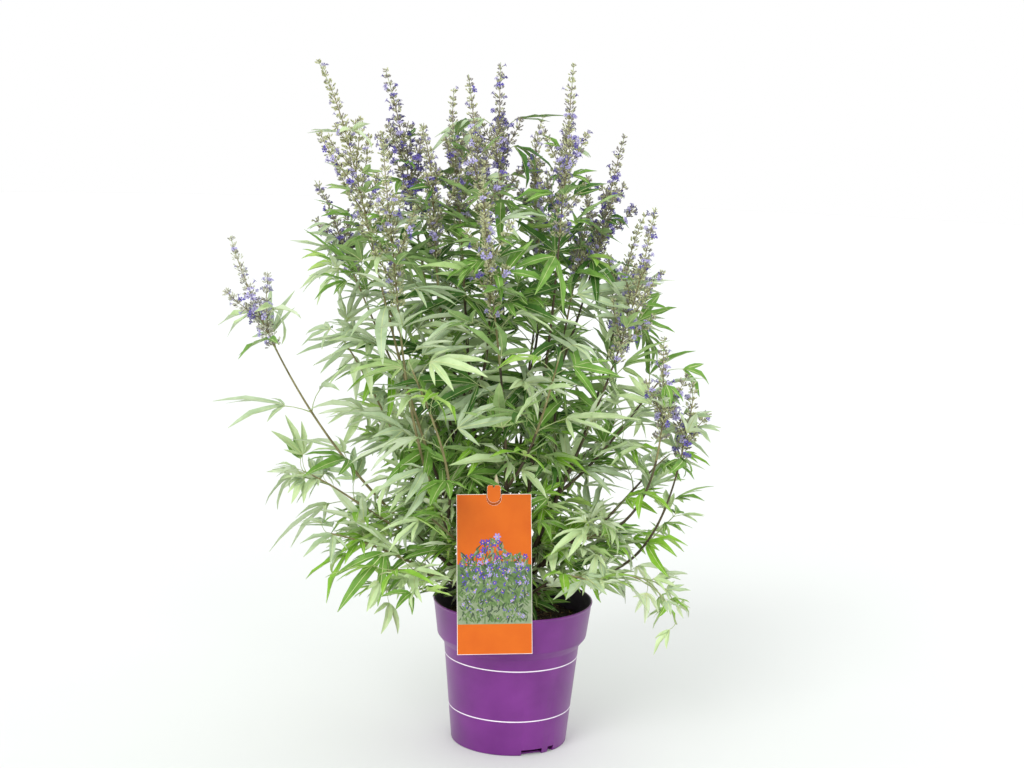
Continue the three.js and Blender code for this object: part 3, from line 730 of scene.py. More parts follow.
BOUGHS = (
    Bough("low_left", 187, 96, 62, 12, 14, 24, (
        Shoot("low_left_leaves", 186, 250, 120, 10),
        Shoot("low_front_leaves", 210, 196, 84, -14),
    )),
    Bough("far_left", 183, 128, 116, 26, 26, 42, (
        Shoot("far_left_spire", 186.7, 386, 524, 70, 125, Bloom.FADED, openness=2.2,
              spire_leaves=((1.04, 0.8),)),
        Shoot("far_left_leaves", 172, 292, 190, 20),
    )),
    Bough("left_tall", 197, 88, 166, 44, 54, 66, (
        Shoot("left_tall_spire", 193, 265, 760, 72, 190, Bloom.PALE, nods_to=185,
              spire_leaves=((1.02, 0.7), (0.86, 0.5), (0.6, 0.85))),
        Shoot("left_side_spire", 177, 268, 600, 74, 110, Bloom.DEEP, openness=1.15),
        Shoot("left_mid_leaves", 184, 236, 390, 54, openness=1.4),
    )),
    Bough("left_front", 212, 104, 150, 34, 50, 64, (
        Shoot("left_pale_spire", 208, 210, 671, 78, 180, Bloom.PALE),
        Shoot("left_front_leaves", 227, 200, 380, 60, openness=1.15),
    )),
    Bough("left_back", 157, 80, 216, 50, 62, 74, (
        Shoot("left_back_spire", 163, 192, 746, 76, 160, Bloom.DEEP),
        Shoot("left_back_leaves", 146, 236, 430, 46, openness=1.15),
    )),
    Bough("centre_left", 172, 58, 300, 66, 70, 84, (
        Shoot("centre_left_spire", 154, 115, 727, 80, 150, Bloom.DUSKY, openness=1.15,
              spire_leaves=((1.02, 0.8), (0.86, 0.7), (0.56, 1.1))),
        Shoot("centre_pale_spire", 203, 76, 749, 86, 170, Bloom.DUSKY, openness=1.15),
        Shoot("inner_pale_spire", 193, 131, 680, 80, 140, Bloom.LILAC, openness=1.15),
    )),
    Bough("centre_back", 100, 66, 260, 60, 68, 80, (
        Shoot("centre_back_spire", 111, 96, 762, 86, 165, Bloom.DEEP, openness=1.15,
              spire_leaves=((1.02, 0.8), (0.8, 1.0), (0.6, 1.2))),
        Shoot("back_high_spire", 84, 172, 690, 78, 140, Bloom.LILAC),
    )),
    Bough("centre_front", 262, 46, 200, 60, 74, 80, (
        Shoot("centre_front_spire", 249, 139, 632, 80, 160, Bloom.PALE),
        Shoot("centre_front_leaves", 290, 168, 400, 60),
    )),
    Bough("right_centre", 340, 36, 290, 66, 76, 82, (
        Shoot("right_centre_spire", 343, 68, 764, 86, 180, Bloom.LILAC, openness=1.15),
        Shoot("right_high_spire", 29, 155, 666, 80, 150, Bloom.DEEP, openness=1.3),
    ), twigginess=1.3),
    Bough("right_tall", 352, 70, 190, 48, 62, 68, (
        Shoot("right_tall_spire", 353.6, 179, 580, 84, 170, Bloom.LILAC, openness=1.55),
        Shoot("right_inner_spire", 30, 113, 609, 84, 120, Bloom.LILAC, openness=1.15),
        Shoot("right_mid_leaves", 9, 214, 350, 50, openness=1.3),
    ), twigginess=1.6),
    Bough("right", 345, 112, 126, 34, 48, 14, (
        Shoot("right_spire", 344, 199, 412, 98, 110, Bloom.LILAC, openness=1.75),
        Shoot("right_leaves", 12, 224, 230, 40, openness=1.1),
    ), twigginess=2.0),
    Bough("low_right", 355, 106, 66, 14, 34, 5, (
        Shoot("low_right_spire", 353, 248, 351, 80, 85, Bloom.LILAC, openness=1.85),
        Shoot("low_right_leaves", 340, 196, 76, -30, openness=1.4, hanging=3),
    ), twigginess=1.6),
)

SKIRTS = (
    Skirt("skirt_front_right", 312, 168, 88, -14, openness=1.35),
    Skirt("skirt_inner_right", 330, 150, 150, 30, openness=0.95, foot=22, leave=56),
    Skirt("skirt_inner_left", 222, 150, 170, 40, foot=22, leave=56),
    Skirt("skirt_back_right", 56, 176, 88, -12, foot=9),
    Skirt("skirt_back_left", 130, 176, 90, -12),
)


def back_ring() -> list[Bough]:
    """Returns the boughs on the side away from the label, alike but for the middle one, which is taller."""
    ring = []
    for i, heading in enumerate((36, 84, 132)):
        name, odd = f"back_{i + 1}", i % 2
        bloom = Bloom.LILAC if odd else Bloom.PALE
        spire = Shoot(f"{name}_spire", heading - 8, 190, 560 + 50 * odd, 74, 130, bloom)
        leafy = Shoot(f"{name}_leaves", heading + 14, 236, 250, 30)
        ring.append(Bough(name, heading, 96, 196, 30 + 5 * odd, 46, 58, (spire, leafy)))
    return ring


@dataclass(frozen=True)
class Trunk:
    """The short leaning trunk, from the flat cut at the soil to the last bough, and its flared foot."""

    x: float = -8.0
    height: float = 74.0
    radius: float = 10.0
    top_radius: float = 7.0
    flare: float = 8.0
    flare_height: float = 9.0
    lean: float = 5.0
    soil_height: float = 170.0

    def foot(self) -> Array:
        """Returns the trunk's foot in the pot's coordinates."""
        return np.array([self.x, 0.0, self.soil_height + CLEARANCE])

    def point(self, height: float) -> Array:
        """Returns the middle of the trunk at a height above its foot."""
        return np.array([math.tan(math.radians(self.lean)) * height, 0.0, height])

    def radius_at(self, height: float) -> float:
        """Returns the trunk's radius at a height above its foot."""
        straight = lerp(self.radius, self.top_radius, height / self.height)
        return straight + self.flare * math.exp(-height / self.flare_height)


@dataclass
class Mass:
    """A shoot as it grows: its curve, its own stream of numbers, and how its first leaves and spikes turn.

    A share of its spire nods, at a slant below level, by the first of two sizes and up to the second more.
    """

    shoot: Shoot
    curve: Sweep
    stream: Stream
    nod_share: float = 0.6
    nod_slant: float = 25.0
    nod_sizes: Span = (4.0, 10.0)
    first_turn: float = 0.0
    spike_turn: float = 0.0

    def __post_init__(self) -> None:
        """Draws the turns of the first leaves and of the side spikes."""
        self.first_turn = self.stream.draw() * 90
        if self.shoot.spike:
            self.spike_turn = self.stream.draw() * 360
            heading = self.spike_turn if self.shoot.nods_to is None else self.shoot.nods_to
            straight = 1 - self.nod_share * self.shoot.spike / self.curve.length
            least, more = self.nod_sizes
            self.curve.nod(aim(heading, -self.nod_slant), least + more * self.stream.draw(), straight)

    @property
    def leafy_length(self) -> float:
        """The length of the stem below its spire."""
        return self.curve.length - self.shoot.spike


@dataclass
class Growth:
    """How the plant stands: the curves of its boughs and of its shoots, by the rule of the solids."""

    trunk: Trunk
    bough_start: float = 3.0
    side_set_back: float = 7.0
    side_spread: float = 0.8
    boughs: list[tuple[Bough, Sweep]] = field(default_factory=list)
    masses: list[Mass] = field(default_factory=list)

    def __post_init__(self) -> None:
        """Lays every curve."""
        shoots = []
        for bough in [*BOUGHS, *back_ring()]:
            curve = self.bough_curve(bough)
            self.boughs.append((bough, curve))
            for shoot in bough.shoots:
                shoots.append((shoot, self.shoot_curve(shoot, curve, shoot is bough.shoots[0])))
        shoots += [(skirt, self.skirt_curve(skirt)) for skirt in SKIRTS]
        for i, (shoot, curve) in enumerate(shoots):
            self.masses.append(Mass(shoot, curve, Stream(SEED + i * SEED_STEP)))

    def bough_curve(self, bough: Bough) -> Sweep:
        """Returns the curve of a bough, which starts just inside the trunk."""
        inside = self.trunk.radius_at(bough.foot) - self.bough_start
        start = self.trunk.point(bough.foot) + aim(bough.heading, 0) * inside
        end = place(bough.heading, bough.reach, bough.rise)
        return Sweep(start, end, aim(bough.heading, bough.leave), aim(bough.heading, bough.arrive))

    def shoot_curve(self, shoot: Shoot, bough: Sweep, leads: bool) -> Sweep:
        """Lays the curve of a shoot.

        Args:
            shoot: The shoot.
            bough: The curve of its bough.
            leads: Whether it leads the bough's line on. If not, it leaves just below the bough's end.

        Returns:
            Its curve.
        """
        tip = place(shoot.heading, shoot.reach, shoot.rise)
        end, along = bough.at(1)
        arriving = aim(shoot.heading, shoot.arrive)
        if leads:
            return Sweep(end, tip, along, arriving)
        across = off_axis(tip - end, along)
        start = end - along * self.side_set_back
        return Sweep(start, tip, unit(along + across * self.side_spread), arriving)

    def skirt_curve(self, skirt: Skirt) -> Sweep:
        """Returns the curve of a low shoot, which starts inside the trunk."""
        tip = place(skirt.heading, skirt.reach, skirt.rise)
        leaving = aim(skirt.heading, skirt.leave)
        return Sweep(self.trunk.point(skirt.foot), tip, leaving, aim(skirt.heading, skirt.arrive))


# Pot, soil and label


@dataclass
class NurseryPot:
    """A moulded nursery pot with a collar, water notches in its bottom edge and two printed lines."""

    height: float = 200.0
    rim_radius: float = 110.0
    collar_radius: float = 103.0
    collar_foot: float = 151.0
    shoulder_radius: float = 93.5
    shoulder_height: float = 139.0
    base_radius: float = 80.0
    wall: float = 2.0
    lip: float = 3.0
    lip_overhang: float = 1.0
    round_radius: float = 1.6
    notch_groups: int = 2
    notch_depth: float = 12.0
    notch_height: float = 8.0
    notch_reach: float = 4.0
    notch_round: float = 1.2
    notch_group: Spans = ((-66.0, 31.0), (-44.0, 11.0))
    stripe_heights: Span = (123.0, 50.0)
    stripe_width: float = 1.5
    stripe_depth: float = 0.18
    stripe_root: float = 0.3
    sharp_edge: float = 50.0
    steps: int = 128

    def wall_radius(self, height: float) -> float:
        """Returns the outer radius of the wall at a height below its shoulder."""
        return lerp(self.base_radius, self.shoulder_radius, height / self.shoulder_height)

    def profile(self) -> Outline:
        """Returns the pot's section, from its middle underneath, up the outside and down the inside."""
        outer = [
            (0.0, 0.0),
            (self.base_radius, 0.0),
            (self.shoulder_radius, self.shoulder_height),
            (self.collar_radius, self.collar_foot),
            (self.rim_radius - self.lip_overhang, self.height - self.lip),
            (self.rim_radius, self.height - self.lip * 0.7),
            (self.rim_radius, self.height),
            (self.rim_radius - self.wall - self.lip_overhang, self.height),
            (self.collar_radius - self.wall, self.collar_foot + 1),
            (self.shoulder_radius - self.wall, self.shoulder_height + 1),
            (self.base_radius - self.wall, self.wall),
            (0.0, self.wall),
        ]
        return softened(outer, self.round_radius)

    def notched(self, shell: Piece) -> None:
        """Cuts the notches out of the bottom edge.

        Args:
            shell: The pot's piece, whose mesh is replaced.
        """
        cutter = bmesh.new()
        out = Matrix.Translation((self.base_radius - self.notch_depth / 2 + self.notch_reach, 0, 0))
        for group in range(self.notch_groups):
            for heading, width in self.notch_group:
                block = bmesh.ops.create_cube(cutter, size=1.0)["verts"]
                turn = turned(heading + 360 / self.notch_groups * group, "Z")
                size = Matrix.Diagonal((self.notch_depth, width, self.notch_height * 2, 1.0))
                bmesh.ops.transform(cutter, matrix=turn @ out @ size, verts=block)
        level = [edge for edge in cutter.edges if abs(edge.verts[0].co.z - edge.verts[1].co.z) < 1]
        bmesh.ops.bevel(cutter, geom=level, offset=self.notch_round, segments=3, profile=0.5,
                        affect="EDGES", material=-1)
        bmesh.ops.scale(cutter, vec=(MM, MM, MM), verts=cutter.verts)
        tool = linked("notch_cutter", meshed("notch_cutter", cutter))
        cut = shell.modifiers.new("notches", "BOOLEAN")
        cut.object = tool
        cut.solver = "EXACT"
        graph = bpy.context.evaluated_depsgraph_get()
        notched = bpy.data.meshes.new_from_object(shell.evaluated_get(graph))
        shell.modifiers.clear()
        shell.data = notched
        bpy.data.objects.remove(tool)

    def stripe_profile(self, height: float) -> Outline:
        """Returns the section of the printed line at a height, which starts just inside the wall."""
        low, high = height - self.stripe_width / 2, height + self.stripe_width / 2
        corners = [(low, -self.stripe_root), (low, self.stripe_depth), (high, self.stripe_depth),
                   (high, -self.stripe_root), (low, -self.stripe_root)]
        return [(self.wall_radius(rise) + out, rise) for rise, out in corners]

    def build(self) -> None:
        """Builds the shell, with painted shade inside, and its printed lines."""
        skin = spun(self.profile(), self.steps)
        # Inward faces above the floor take the second finish: painted shade inside the pot
        for face in skin.faces:
            middle = face.calc_center_median()
            outwards = Vector((middle.x, middle.y, 0)).dot(face.normal)
            face.material_index = int(middle.z > self.wall * 0.9 and outwards < 0)
        shell = modelled("pot_shell", skin, [POT_VIOLET, POT_INSIDE_PAINTED_SHADE])
        self.notched(shell)
        shell.data.set_sharp_from_angle(angle=math.radians(self.sharp_edge))
        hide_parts("nursery_pot")
        for i, height in enumerate(self.stripe_heights):
            ring = spun(self.stripe_profile(height), self.steps)
            modelled(f"pot_stripe_{i + 1}", ring, [POT_INK], smooth=False)


@dataclass
class PottingSoil:
    """The bed of potting mix, crumbly on top, and heaped a little at the trunk."""

    pot: NurseryPot
    trunk: Trunk
    edge_gain: float = 1.6
    sunk: float = 1.5
    roughness: float = 3.2
    clod: float = 17.0
    clod_share: float = 0.7
    lump: float = 5.0
    lump_share: float = 0.35
    heap: float = 3.0
    heap_reach: float = 22.0
    steps: int = 96
    rings: int = 26
    crumbs: int = 1500
    crumb_sizes: Span = (0.7, 1.5)
    large_crumb: float = 1.6
    crumb_unevenness: Span = (0.55, 1.1)
    fibres: int = 170
    fibre_lengths: Span = (3.0, 9.0)
    fibre_slant: float = 16.0
    fibre_radii: Numbers = (0.3, 0.7, 0.3)
    bits_inset: float = 4.0
    bits_rise: float = 0.4

    def edge(self) -> float:
        """Returns the bed's radius at its top."""
        return self.pot.collar_radius - self.pot.wall + self.edge_gain

    def height_at(self, x: float, y: float) -> float:
        """Returns the height of the soil's surface at a place."""
        clods = noise.noise(Vector((x, y, 3.0)) / self.clod) * self.clod_share
        lumps = noise.noise(Vector((x, y, 9.0)) / self.lump) * self.lump_share
        heap = self.heap * math.exp(-math.hypot(x - self.trunk.x, y) / self.heap_reach)
        return self.trunk.soil_height - self.sunk + self.roughness * (clods + lumps) + heap

    def bed(self) -> Piece:
        """Builds the bed."""
        pot = self.pot
        inset = pot.wall + CLEARANCE
        below = [
            (0.0, inset),
            (pot.base_radius - pot.wall - pot.notch_depth, inset),
            (pot.base_radius - inset, pot.notch_height + 6),
            (pot.shoulder_radius - inset - 0.1, pot.shoulder_height + 1),
            (pot.collar_radius - inset - 0.2, pot.collar_foot + 1.5),
        ]
        top = [(self.edge() * (1 - i / self.rings), self.trunk.soil_height) for i in range(self.rings + 1)]
        skin = spun([*below, *top], self.steps)
        for vertex in skin.verts:
            if vertex.co.z > self.trunk.soil_height - 1:
                vertex.co.z = self.height_at(vertex.co.x, vertex.co.y)
        return modelled("soil_bed", skin, [PEAT])

    def crumb(self, spot: Array, stream: Stream) -> Shape:
        """Returns a crumb at a spot: an uneven eight-sided grain, seldom a large one."""
        corners = np.array([(1, 0, 0), (-1, 0, 0), (0, 1, 0), (0, -1, 0), (0, 0, 1), (0, 0, -1)], float)
        upper = [(0, 2, 4), (2, 1, 4), (1, 3, 4), (3, 0, 4)]
        lower = [(2, 0, 5), (1, 2, 5), (3, 1, 5), (0, 3, 5)]
        size = stream.between(*self.crumb_sizes) + self.large_crumb * stream.draw() ** 6
        uneven = np.array([[stream.between(*self.crumb_unevenness)] for _ in corners])
        return corners * uneven * size + spot, np.array(upper + lower)

    def fibre(self, spot: Array, stream: Stream) -> Shape:
        """Returns a fibre of bark across a spot."""
        heading, slant = stream.draw() * 360, stream.give_or_take(self.fibre_slant)
        half = aim(heading, slant) * stream.between(*self.fibre_lengths)
        return tube(np.array([spot - half, spot, spot + half]), np.array(self.fibre_radii), 4)

    def build(self) -> None:
        """Builds the bed, its crumbs and its fibres of bark."""
        bed = self.bed()
        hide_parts("potting_soil")
        stream = Stream(SEED)
        crumbs, fibres = Pile(), Pile()
        for i in range(self.crumbs + self.fibres):
            reach = (self.edge() - self.bits_inset) * math.sqrt(stream.draw())
            turn = stream.draw() * math.tau
            x, y = reach * math.cos(turn), reach * math.sin(turn)
            spot = np.array([x, y, self.height_at(x, y) + self.bits_rise])
            if i < self.crumbs:
                crumbs.add(self.crumb(spot, stream))
            else:
                fibres.add(self.fibre(spot, stream))
        crumbs.piece("soil_crumbs", [PEAT_CRUMB])
        fibres.piece("soil_bark_fibres", [BARK_FIBRE])


@dataclass
class CardLabel:
    """A varnished card label that leans back on the rim, with a slot and a hooked tongue at its top.

    Its print is plain: orange above and below, and between them a meadow of small flowers over wavy bands.
    Each band has its drop below the meadow's top, the swing and the phase of its wavy edge, and its ink.
    """

    width: float = 100.0
    length: float = 212.0
    thickness: float = 1.0
    centre: tuple[float, float, float] = (-26.0, -101.1, 260.5)
    lean: float = 12.0
    yaw: float = 6.0
    roll: float = 1.0
    tongue_width: float = 18.0
    tongue_rise: float = 12.0
    tongue_drop: float = 30.0
    tongue_shoulder: float = 3.0
    slot_width: float = 20.0
    slot_depth: float = 15.0
    margin: float = 0.5
    slot_margin: float = 0.15
    ink: float = 0.05
    meadow_top: float = 14.0
    meadow_foot: float = -66.0
    bands: tuple[tuple[float, float, float, Finish], ...] = (
        (0, 3.0, 0.4, INK_MOSS), (24, 4.0, 2.2, INK_MEADOW), (52, 3.5, 4.1, INK_SAGE))
    band_waves: float = 3.4
    print_overlap: float = 12.0
    back_bare: float = 32.0
    tab_share: float = 0.7
    tab_drop: float = 2.6
    corner_cut: float = 2.0
    top_notch: float = 4.0
    arc_steps: int = 12
    blades: int = 620
    blade_lengths: Span = (3.0, 5.2)
    blade_widths: Span = (0.7, 1.3)
    blade_slant: float = 1.1
    flower_rows: int = 13
    flower_columns: int = 12
    flower_corner: Span = (-41.5, 50.0)
    flower_gaps: Span = (7.3, 8.8)
    flower_stagger: float = 3.6
    flower_sizes: Span = (4.8, 2.9)
    violet_share: float = 0.42

    @property
    def inner(self) -> float:
        """How far from the card's middle line its print reaches."""
        return self.width / 2 - self.margin

    def matrix(self) -> Matrix:
        """Returns where the label stands, in millimetres."""
        standing = Matrix.Translation(self.centre) @ turned(self.yaw, "Z") @ turned(90 - self.lean, "X")
        return standing @ turned(self.roll, "Z")

    def half_turns(self) -> list[float]:
        """Returns the turns of the points of a half circle, in radians."""
        return [math.pi * i / self.arc_steps for i in range(self.arc_steps + 1)]

    def outline(self, inset: float, foot: float) -> Outline:
        """Returns the card's outline with its slot, inset from the edges and cut off at a foot."""
        half, top = self.width / 2 - inset, self.length / 2 - inset
        arch = self.slot_width / 2 + min(inset, self.slot_margin)
        middle = self.length / 2 - self.slot_depth + self.slot_width / 2
        slot = [(arch * math.cos(turn), middle - arch * math.sin(turn)) for turn in self.half_turns()]
        return [(-half, foot), (half, foot), (half, top), (arch, top), *slot, (-arch, top), (-half, top)]

    def tongue_top(self, half: float, top: float) -> Outline:
        """Returns the top edge of the tongue from right to left, with cut corners and a small notch."""
        cut = self.corner_cut
        right = [(half, top - cut), (half - cut, top), (cut, top)]
        return [*right, (0, top - self.top_notch), *[(-x, y) for x, y in reversed(right)]]

    def tongue_outline(self) -> Outline:
        """Returns the outline of the tongue behind the slot."""
        half, edge = self.tongue_width / 2, self.length / 2
        foot, waist = half + self.tongue_shoulder, edge - self.corner_cut
        right = [(foot, edge - self.tongue_drop), (foot, waist), (half, waist)]
        top = self.tongue_top(half, edge + self.tongue_rise)
        return [*right, *top, *[(-x, y) for x, y in reversed(right)]]

    def tab_outline(self, inset: float) -> Outline:
        """Returns the outline of the cut tab that stands in the slot."""
        half = self.tongue_width / 2 - inset
        middle = self.length / 2 - self.slot_depth + self.slot_width / 2 + self.tab_drop
        end = [(-half * math.cos(turn), middle - half * math.sin(turn)) for turn in self.half_turns()]
        return [*end, *self.tongue_top(half, self.length / 2 + self.tongue_rise - inset)]

    def strip_outline(self, foot: float, top: float) -> Outline:
        """Returns the outline of a strip of print across the card, between two heights in its plane."""
        return [(-self.inner, foot), (self.inner, foot), (self.inner, top), (-self.inner, top)]

    def plate(self, outline: Outline, low: float, high: float) -> Model:
        """Makes a flat plate of card or ink.

        Args:
            outline: Its outline in the card's plane.
            low: The height of its lower face above the card's middle plane.
            high: The height of its upper face.

        Returns:
            The plate.
        """
        plate = bmesh.new()
        face = plate.faces.new([plate.verts.new((x, y, low)) for x, y in outline])
        raised = bmesh.ops.extrude_face_region(plate, geom=[face])["geom"]
        corners = [part for part in raised if isinstance(part, bmesh.types.BMVert)]
        bmesh.ops.translate(plate, vec=(0, 0, high - low), verts=corners)
        bmesh.ops.triangulate(plate, faces=[f for f in plate.faces if len(f.verts) > 4])
        bmesh.ops.recalc_face_normals(plate, faces=plate.faces)
        return plate

    def band(self, index: int) -> None:
        """Prints one band of the meadow, with a wavy upper edge.

        Args:
            index: Its number, from 0. Each band lies over the ones before it.
        """
        drop, swing, phase, finish = self.bands[index]
        level = self.thickness / 2 + (index + 2) * self.ink
        band = bmesh.new()
        bmesh.ops.create_grid(band, x_segments=48, y_segments=1, size=1.0)
        for vertex in band.verts:
            wave = swing * math.sin(vertex.co.x * self.band_waves + phase)
            edge = self.meadow_top - drop + wave if vertex.co.y > 0 else self.meadow_foot
            vertex.co = (vertex.co.x * self.inner, edge, level)
        modelled(f"label_print_band_{index + 1}", band, [finish], False, self.matrix())

    def drift(self, x: float) -> float:
        """Returns how high the printed flowers stand at a place across the card: a mound on a wavy edge."""
        level, mound, mound_x, mound_width, ripple = 26, 27, -3, 18, 4
        return level + mound * math.exp(-((x - mound_x) / mound_width) ** 2) + ripple * math.sin(x / 4)

    def oval(self, x: float, y: float, turn: float, size: Span, layer: int) -> Shape:
        """Makes one printed oval.

        Args:
            x: Its middle across the card.
            y: Its middle up the card.
            turn: Its turn in radians.
            size: Its half length and half width.
            layer: Its place in the order of printing, which starts again every forty ovals.

        Returns:
            Its corners in the pot's coordinates, and its triangles.
        """
        steps = 8
        turns = np.linspace(0, math.tau, steps, endpoint=False)
        rim = np.stack([np.cos(turns) * size[0], np.sin(turns) * size[1]], 1)
        cos, sin = math.cos(turn), math.sin(turn)
        flat = np.concatenate([np.zeros((1, 2)), rim]) @ np.array([[cos, sin], [-sin, cos]])
        level = self.thickness / 2 + self.ink * (5 + layer % 40 * 0.2)
        on_card = np.column_stack([flat + (x, y), np.full(steps + 1, level), np.ones(steps + 1)])
        fan = np.stack([np.zeros(steps, int), 1 + np.arange(steps), 1 + (np.arange(steps) + 1) % steps], 1)
        return (on_card @ np.array(self.matrix()).T)[:, :3], fan

    def print_blades(self, stream: Stream) -> None:
        """Prints a thicket of upright blades, denser towards its foot.

        Args:
            stream: The print's numbers.
        """
        blades = Pile()
        for i in range(self.blades):
            x = stream.give_or_take(self.inner - 5)
            y = lerp(self.meadow_foot + 5, self.drift(x) - 3, stream.draw() ** 1.3)
            size = (stream.between(*self.blade_lengths), stream.between(*self.blade_widths))
            turn = math.pi / 2 + stream.give_or_take(self.blade_slant)
            blades.add(self.oval(x, y, turn, size, i), i % 4)
        blades.piece("label_print_blades", [INK_MOSS, INK_SAGE, INK_DUSK, INK_MEADOW])

    def print_flowers(self, stream: Stream) -> None:
        """Prints rows of small six-petalled flowers, with fewer and smaller ones towards the foot.

        Args:
            stream: The print's numbers.
        """
        left, top = self.flower_corner
        across, down = self.flower_gaps
        petals, hearts = Pile(), Pile()
        for row in range(self.flower_rows):
            depth = row / (self.flower_rows - 1)
            for column in range(self.flower_columns):
                x = left + column * across + (row % 2) * self.flower_stagger + stream.give_or_take(1.8)
                y = top - row * down + stream.give_or_take(2.5)
                size = lerp(*self.flower_sizes, depth) * stream.between(0.85, 1.1)
                kept = stream.draw() < lerp(1.0, 0.5, depth) and y < self.drift(x)
                if not kept or abs(x) > self.inner - size - 0.5 or y < self.meadow_foot + size:
                    continue
                ink = int(stream.draw() < self.violet_share)
                for petal in range(6):
                    turn = petal * math.pi / 3 + row
                    middle = (x + math.cos(turn) * size * 0.6, y + math.sin(turn) * size * 0.6)
                    petals.add(self.oval(*middle, turn, (size * 0.46, size * 0.27), 40 + petal), ink)
                hearts.add(self.oval(x, y, 0.0, (size * 0.2, size * 0.2), 47), 0)
        petals.piece("label_print_petals", [INK_VIOLET, INK_LILAC])
        hearts.piece("label_print_hearts", [INK_GOLD])

    def build(self) -> None:
        """Builds the card, its tongue and its print."""
        end, face, ink = self.length / 2, self.thickness / 2, self.ink
        tab_face = face * self.tab_share
        edge = self.margin - end
        sheet = self.plate(self.outline(0, -end), -face, face)
        card = modelled("label_card", sheet, [CARD_CORE], False, self.matrix())
        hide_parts("card_label")
        top = self.outline(self.margin, self.meadow_top - self.print_overlap)
        foot = self.strip_outline(edge, self.meadow_foot)
        back = self.strip_outline(edge, end - self.back_bare)
        # The tongue seen through the slot is a darker orange: painted shade
        parts = (
            ("label_tongue", self.tongue_outline(), -face - self.thickness, -face, INK_TONGUE_PAINTED_SHADE),
            ("label_tab", self.tab_outline(0), -face, tab_face, CARD_CORE),
            ("label_tab_print", self.tab_outline(self.slot_margin), tab_face, tab_face + ink, INK_ORANGE),
            ("label_print_top", top, face, face + ink, INK_ORANGE),
            ("label_print_foot", foot, face, face + ink, INK_ORANGE),
            ("label_print_back", back, -face - ink, -face, INK_ORANGE),
        )
        for name, outline, low, high, finish in parts:
            piece = modelled(name, self.plate(outline, low, high), [finish], False, self.matrix())
        for index in range(len(self.bands)):
            self.band(index)
        stream = Stream(SEED + 5)
        self.print_blades(stream)
        self.print_flowers(stream)


# Wood


@dataclass
class Framework:
    """The trunk and its boughs, with bark in relief, and the cut stem behind the label."""

    growth: Growth
    bough_radius: float = 3.4
    bough_tip_radius: float = 2.3
    collar_swell: float = 0.6
    collar_length: float = 9.0
    ring_step: float = 2.5
    relief: float = 0.32
    ridge_height: float = 5.0
    furrow_scale: float = 0.75
    furrow_depth: float = 2.2
    swell_scale: float = 0.3
    limb_sides: int = 16
    trunk_sides: int = 40
    trunk_rings: int = 60
    buttresses: int = 5
    buttress_share: float = 0.14
    buttress_height: float = 14.0
    trunk_relief: float = 2.2
    rounded_from: float = 0.93
    rounding: float = 0.0055
    cut_stem: Bough = Bough("cut_stem", 251, 62, 217, 46, 62, 80)
    cut_radius: float = 3.2
    cut_taper: float = 15.0
    cut_relief: float = 0.3

    def relief_at(self, turn: float, along: float, radius: float) -> float:
        """Returns how far the bark stands out at a turn and a length along a limb."""
        ring = Vector((math.cos(turn) * radius, math.sin(turn) * radius, along / self.ridge_height))
        furrow = abs(noise.noise(ring * self.furrow_scale))
        return self.relief * (noise.noise(ring * self.swell_scale) + 0.5 - furrow * self.furrow_depth)

    def limb(self, name: str, curve: Sweep, radius_at: Callable[[float], float], finish: Finish,
             relief: float = 1.0) -> Piece:
        """Builds a limb along a curve.

        Args:
            name: The new piece's name.
            curve: The middle of the limb.
            radius_at: The limb's radius at a length from its foot.
            finish: Its finish.
            relief: The bark's relief as a share of its full height.

        Returns:
            The piece.
        """
        rings = max(12, round(curve.length / self.ring_step))
        line = curve.points(np.linspace(0, 1, rings + 1))
        frames = [facing(curve.tangent(i / rings)) for i in range(rings + 1)]
        foot = self.growth.trunk.foot()

        def at(round_share: float, along_share: float) -> Vector:
            """Returns the point of the bark at a share round and a share along."""
            ring = round(along_share * rings)
            turn = round_share * math.tau
            length = along_share * curve.length
            radius = radius_at(length) + relief * self.relief_at(turn, length, radius_at(length))
            return Vector(foot + line[ring] + radius * spoke(frames[ring], turn))

        return modelled(name, wrapped(self.limb_sides, rings, at), [finish])

    def build_trunk(self) -> None:
        """Builds the trunk, whose foot spreads in five low buttresses."""
        trunk = self.growth.trunk
        foot = trunk.foot()

        def at(round_share: float, along_share: float) -> Vector:
            """Returns the point of the bark at a share round and a share along."""
            turn, height = round_share * math.tau, along_share * trunk.height
            buttress = self.buttress_share * math.cos(self.buttresses * turn)
            spread = 1 + buttress * math.exp(-height / self.buttress_height)
            bark = self.trunk_relief * self.relief_at(turn, height, trunk.radius)
            radius = trunk.radius_at(height) * spread + bark
            past = max(0.0, along_share - self.rounded_from)
            drawn_in = math.sqrt(max(0.0, 1 - past ** 2 / self.rounding))
            out = Vector((math.cos(turn), math.sin(turn), 0)) * radius * drawn_in
            return Vector(foot + trunk.point(height)) + out

        skin = wrapped(self.trunk_sides, self.trunk_rings, at)
        bark = modelled("trunk_bark", skin, [BARK])
        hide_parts("trunk")

    def build(self) -> None:
        """Builds the trunk, the boughs and the cut stem."""
        self.build_trunk()
        for bough, curve in self.growth.boughs:
            def radius_at(length: float, whole: float = curve.length) -> float:
                """Returns the bough's radius at a length from its foot, which swells to meet the trunk."""
                swell = 1 + self.collar_swell * math.exp(-length / self.collar_length)
                return lerp(self.bough_radius, self.bough_tip_radius, length / whole) * swell

            bark = self.limb(f"bough_{bough.name}_bark", curve, radius_at, BARK)
            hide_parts(f"bough_{bough.name}")
        curve = self.growth.bough_curve(self.cut_stem)

        def pointed(length: float) -> float:
            """Returns the cut stem's radius, which draws in to the cut."""
            return self.cut_radius * min(1.0, 0.12 + ((curve.length - length) / self.cut_taper) ** 0.7)

        wood = self.limb("cut_stem_wood", curve, pointed, CUT_WOOD, relief=self.cut_relief)
        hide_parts("cut_stem")


# Leaves and blossom


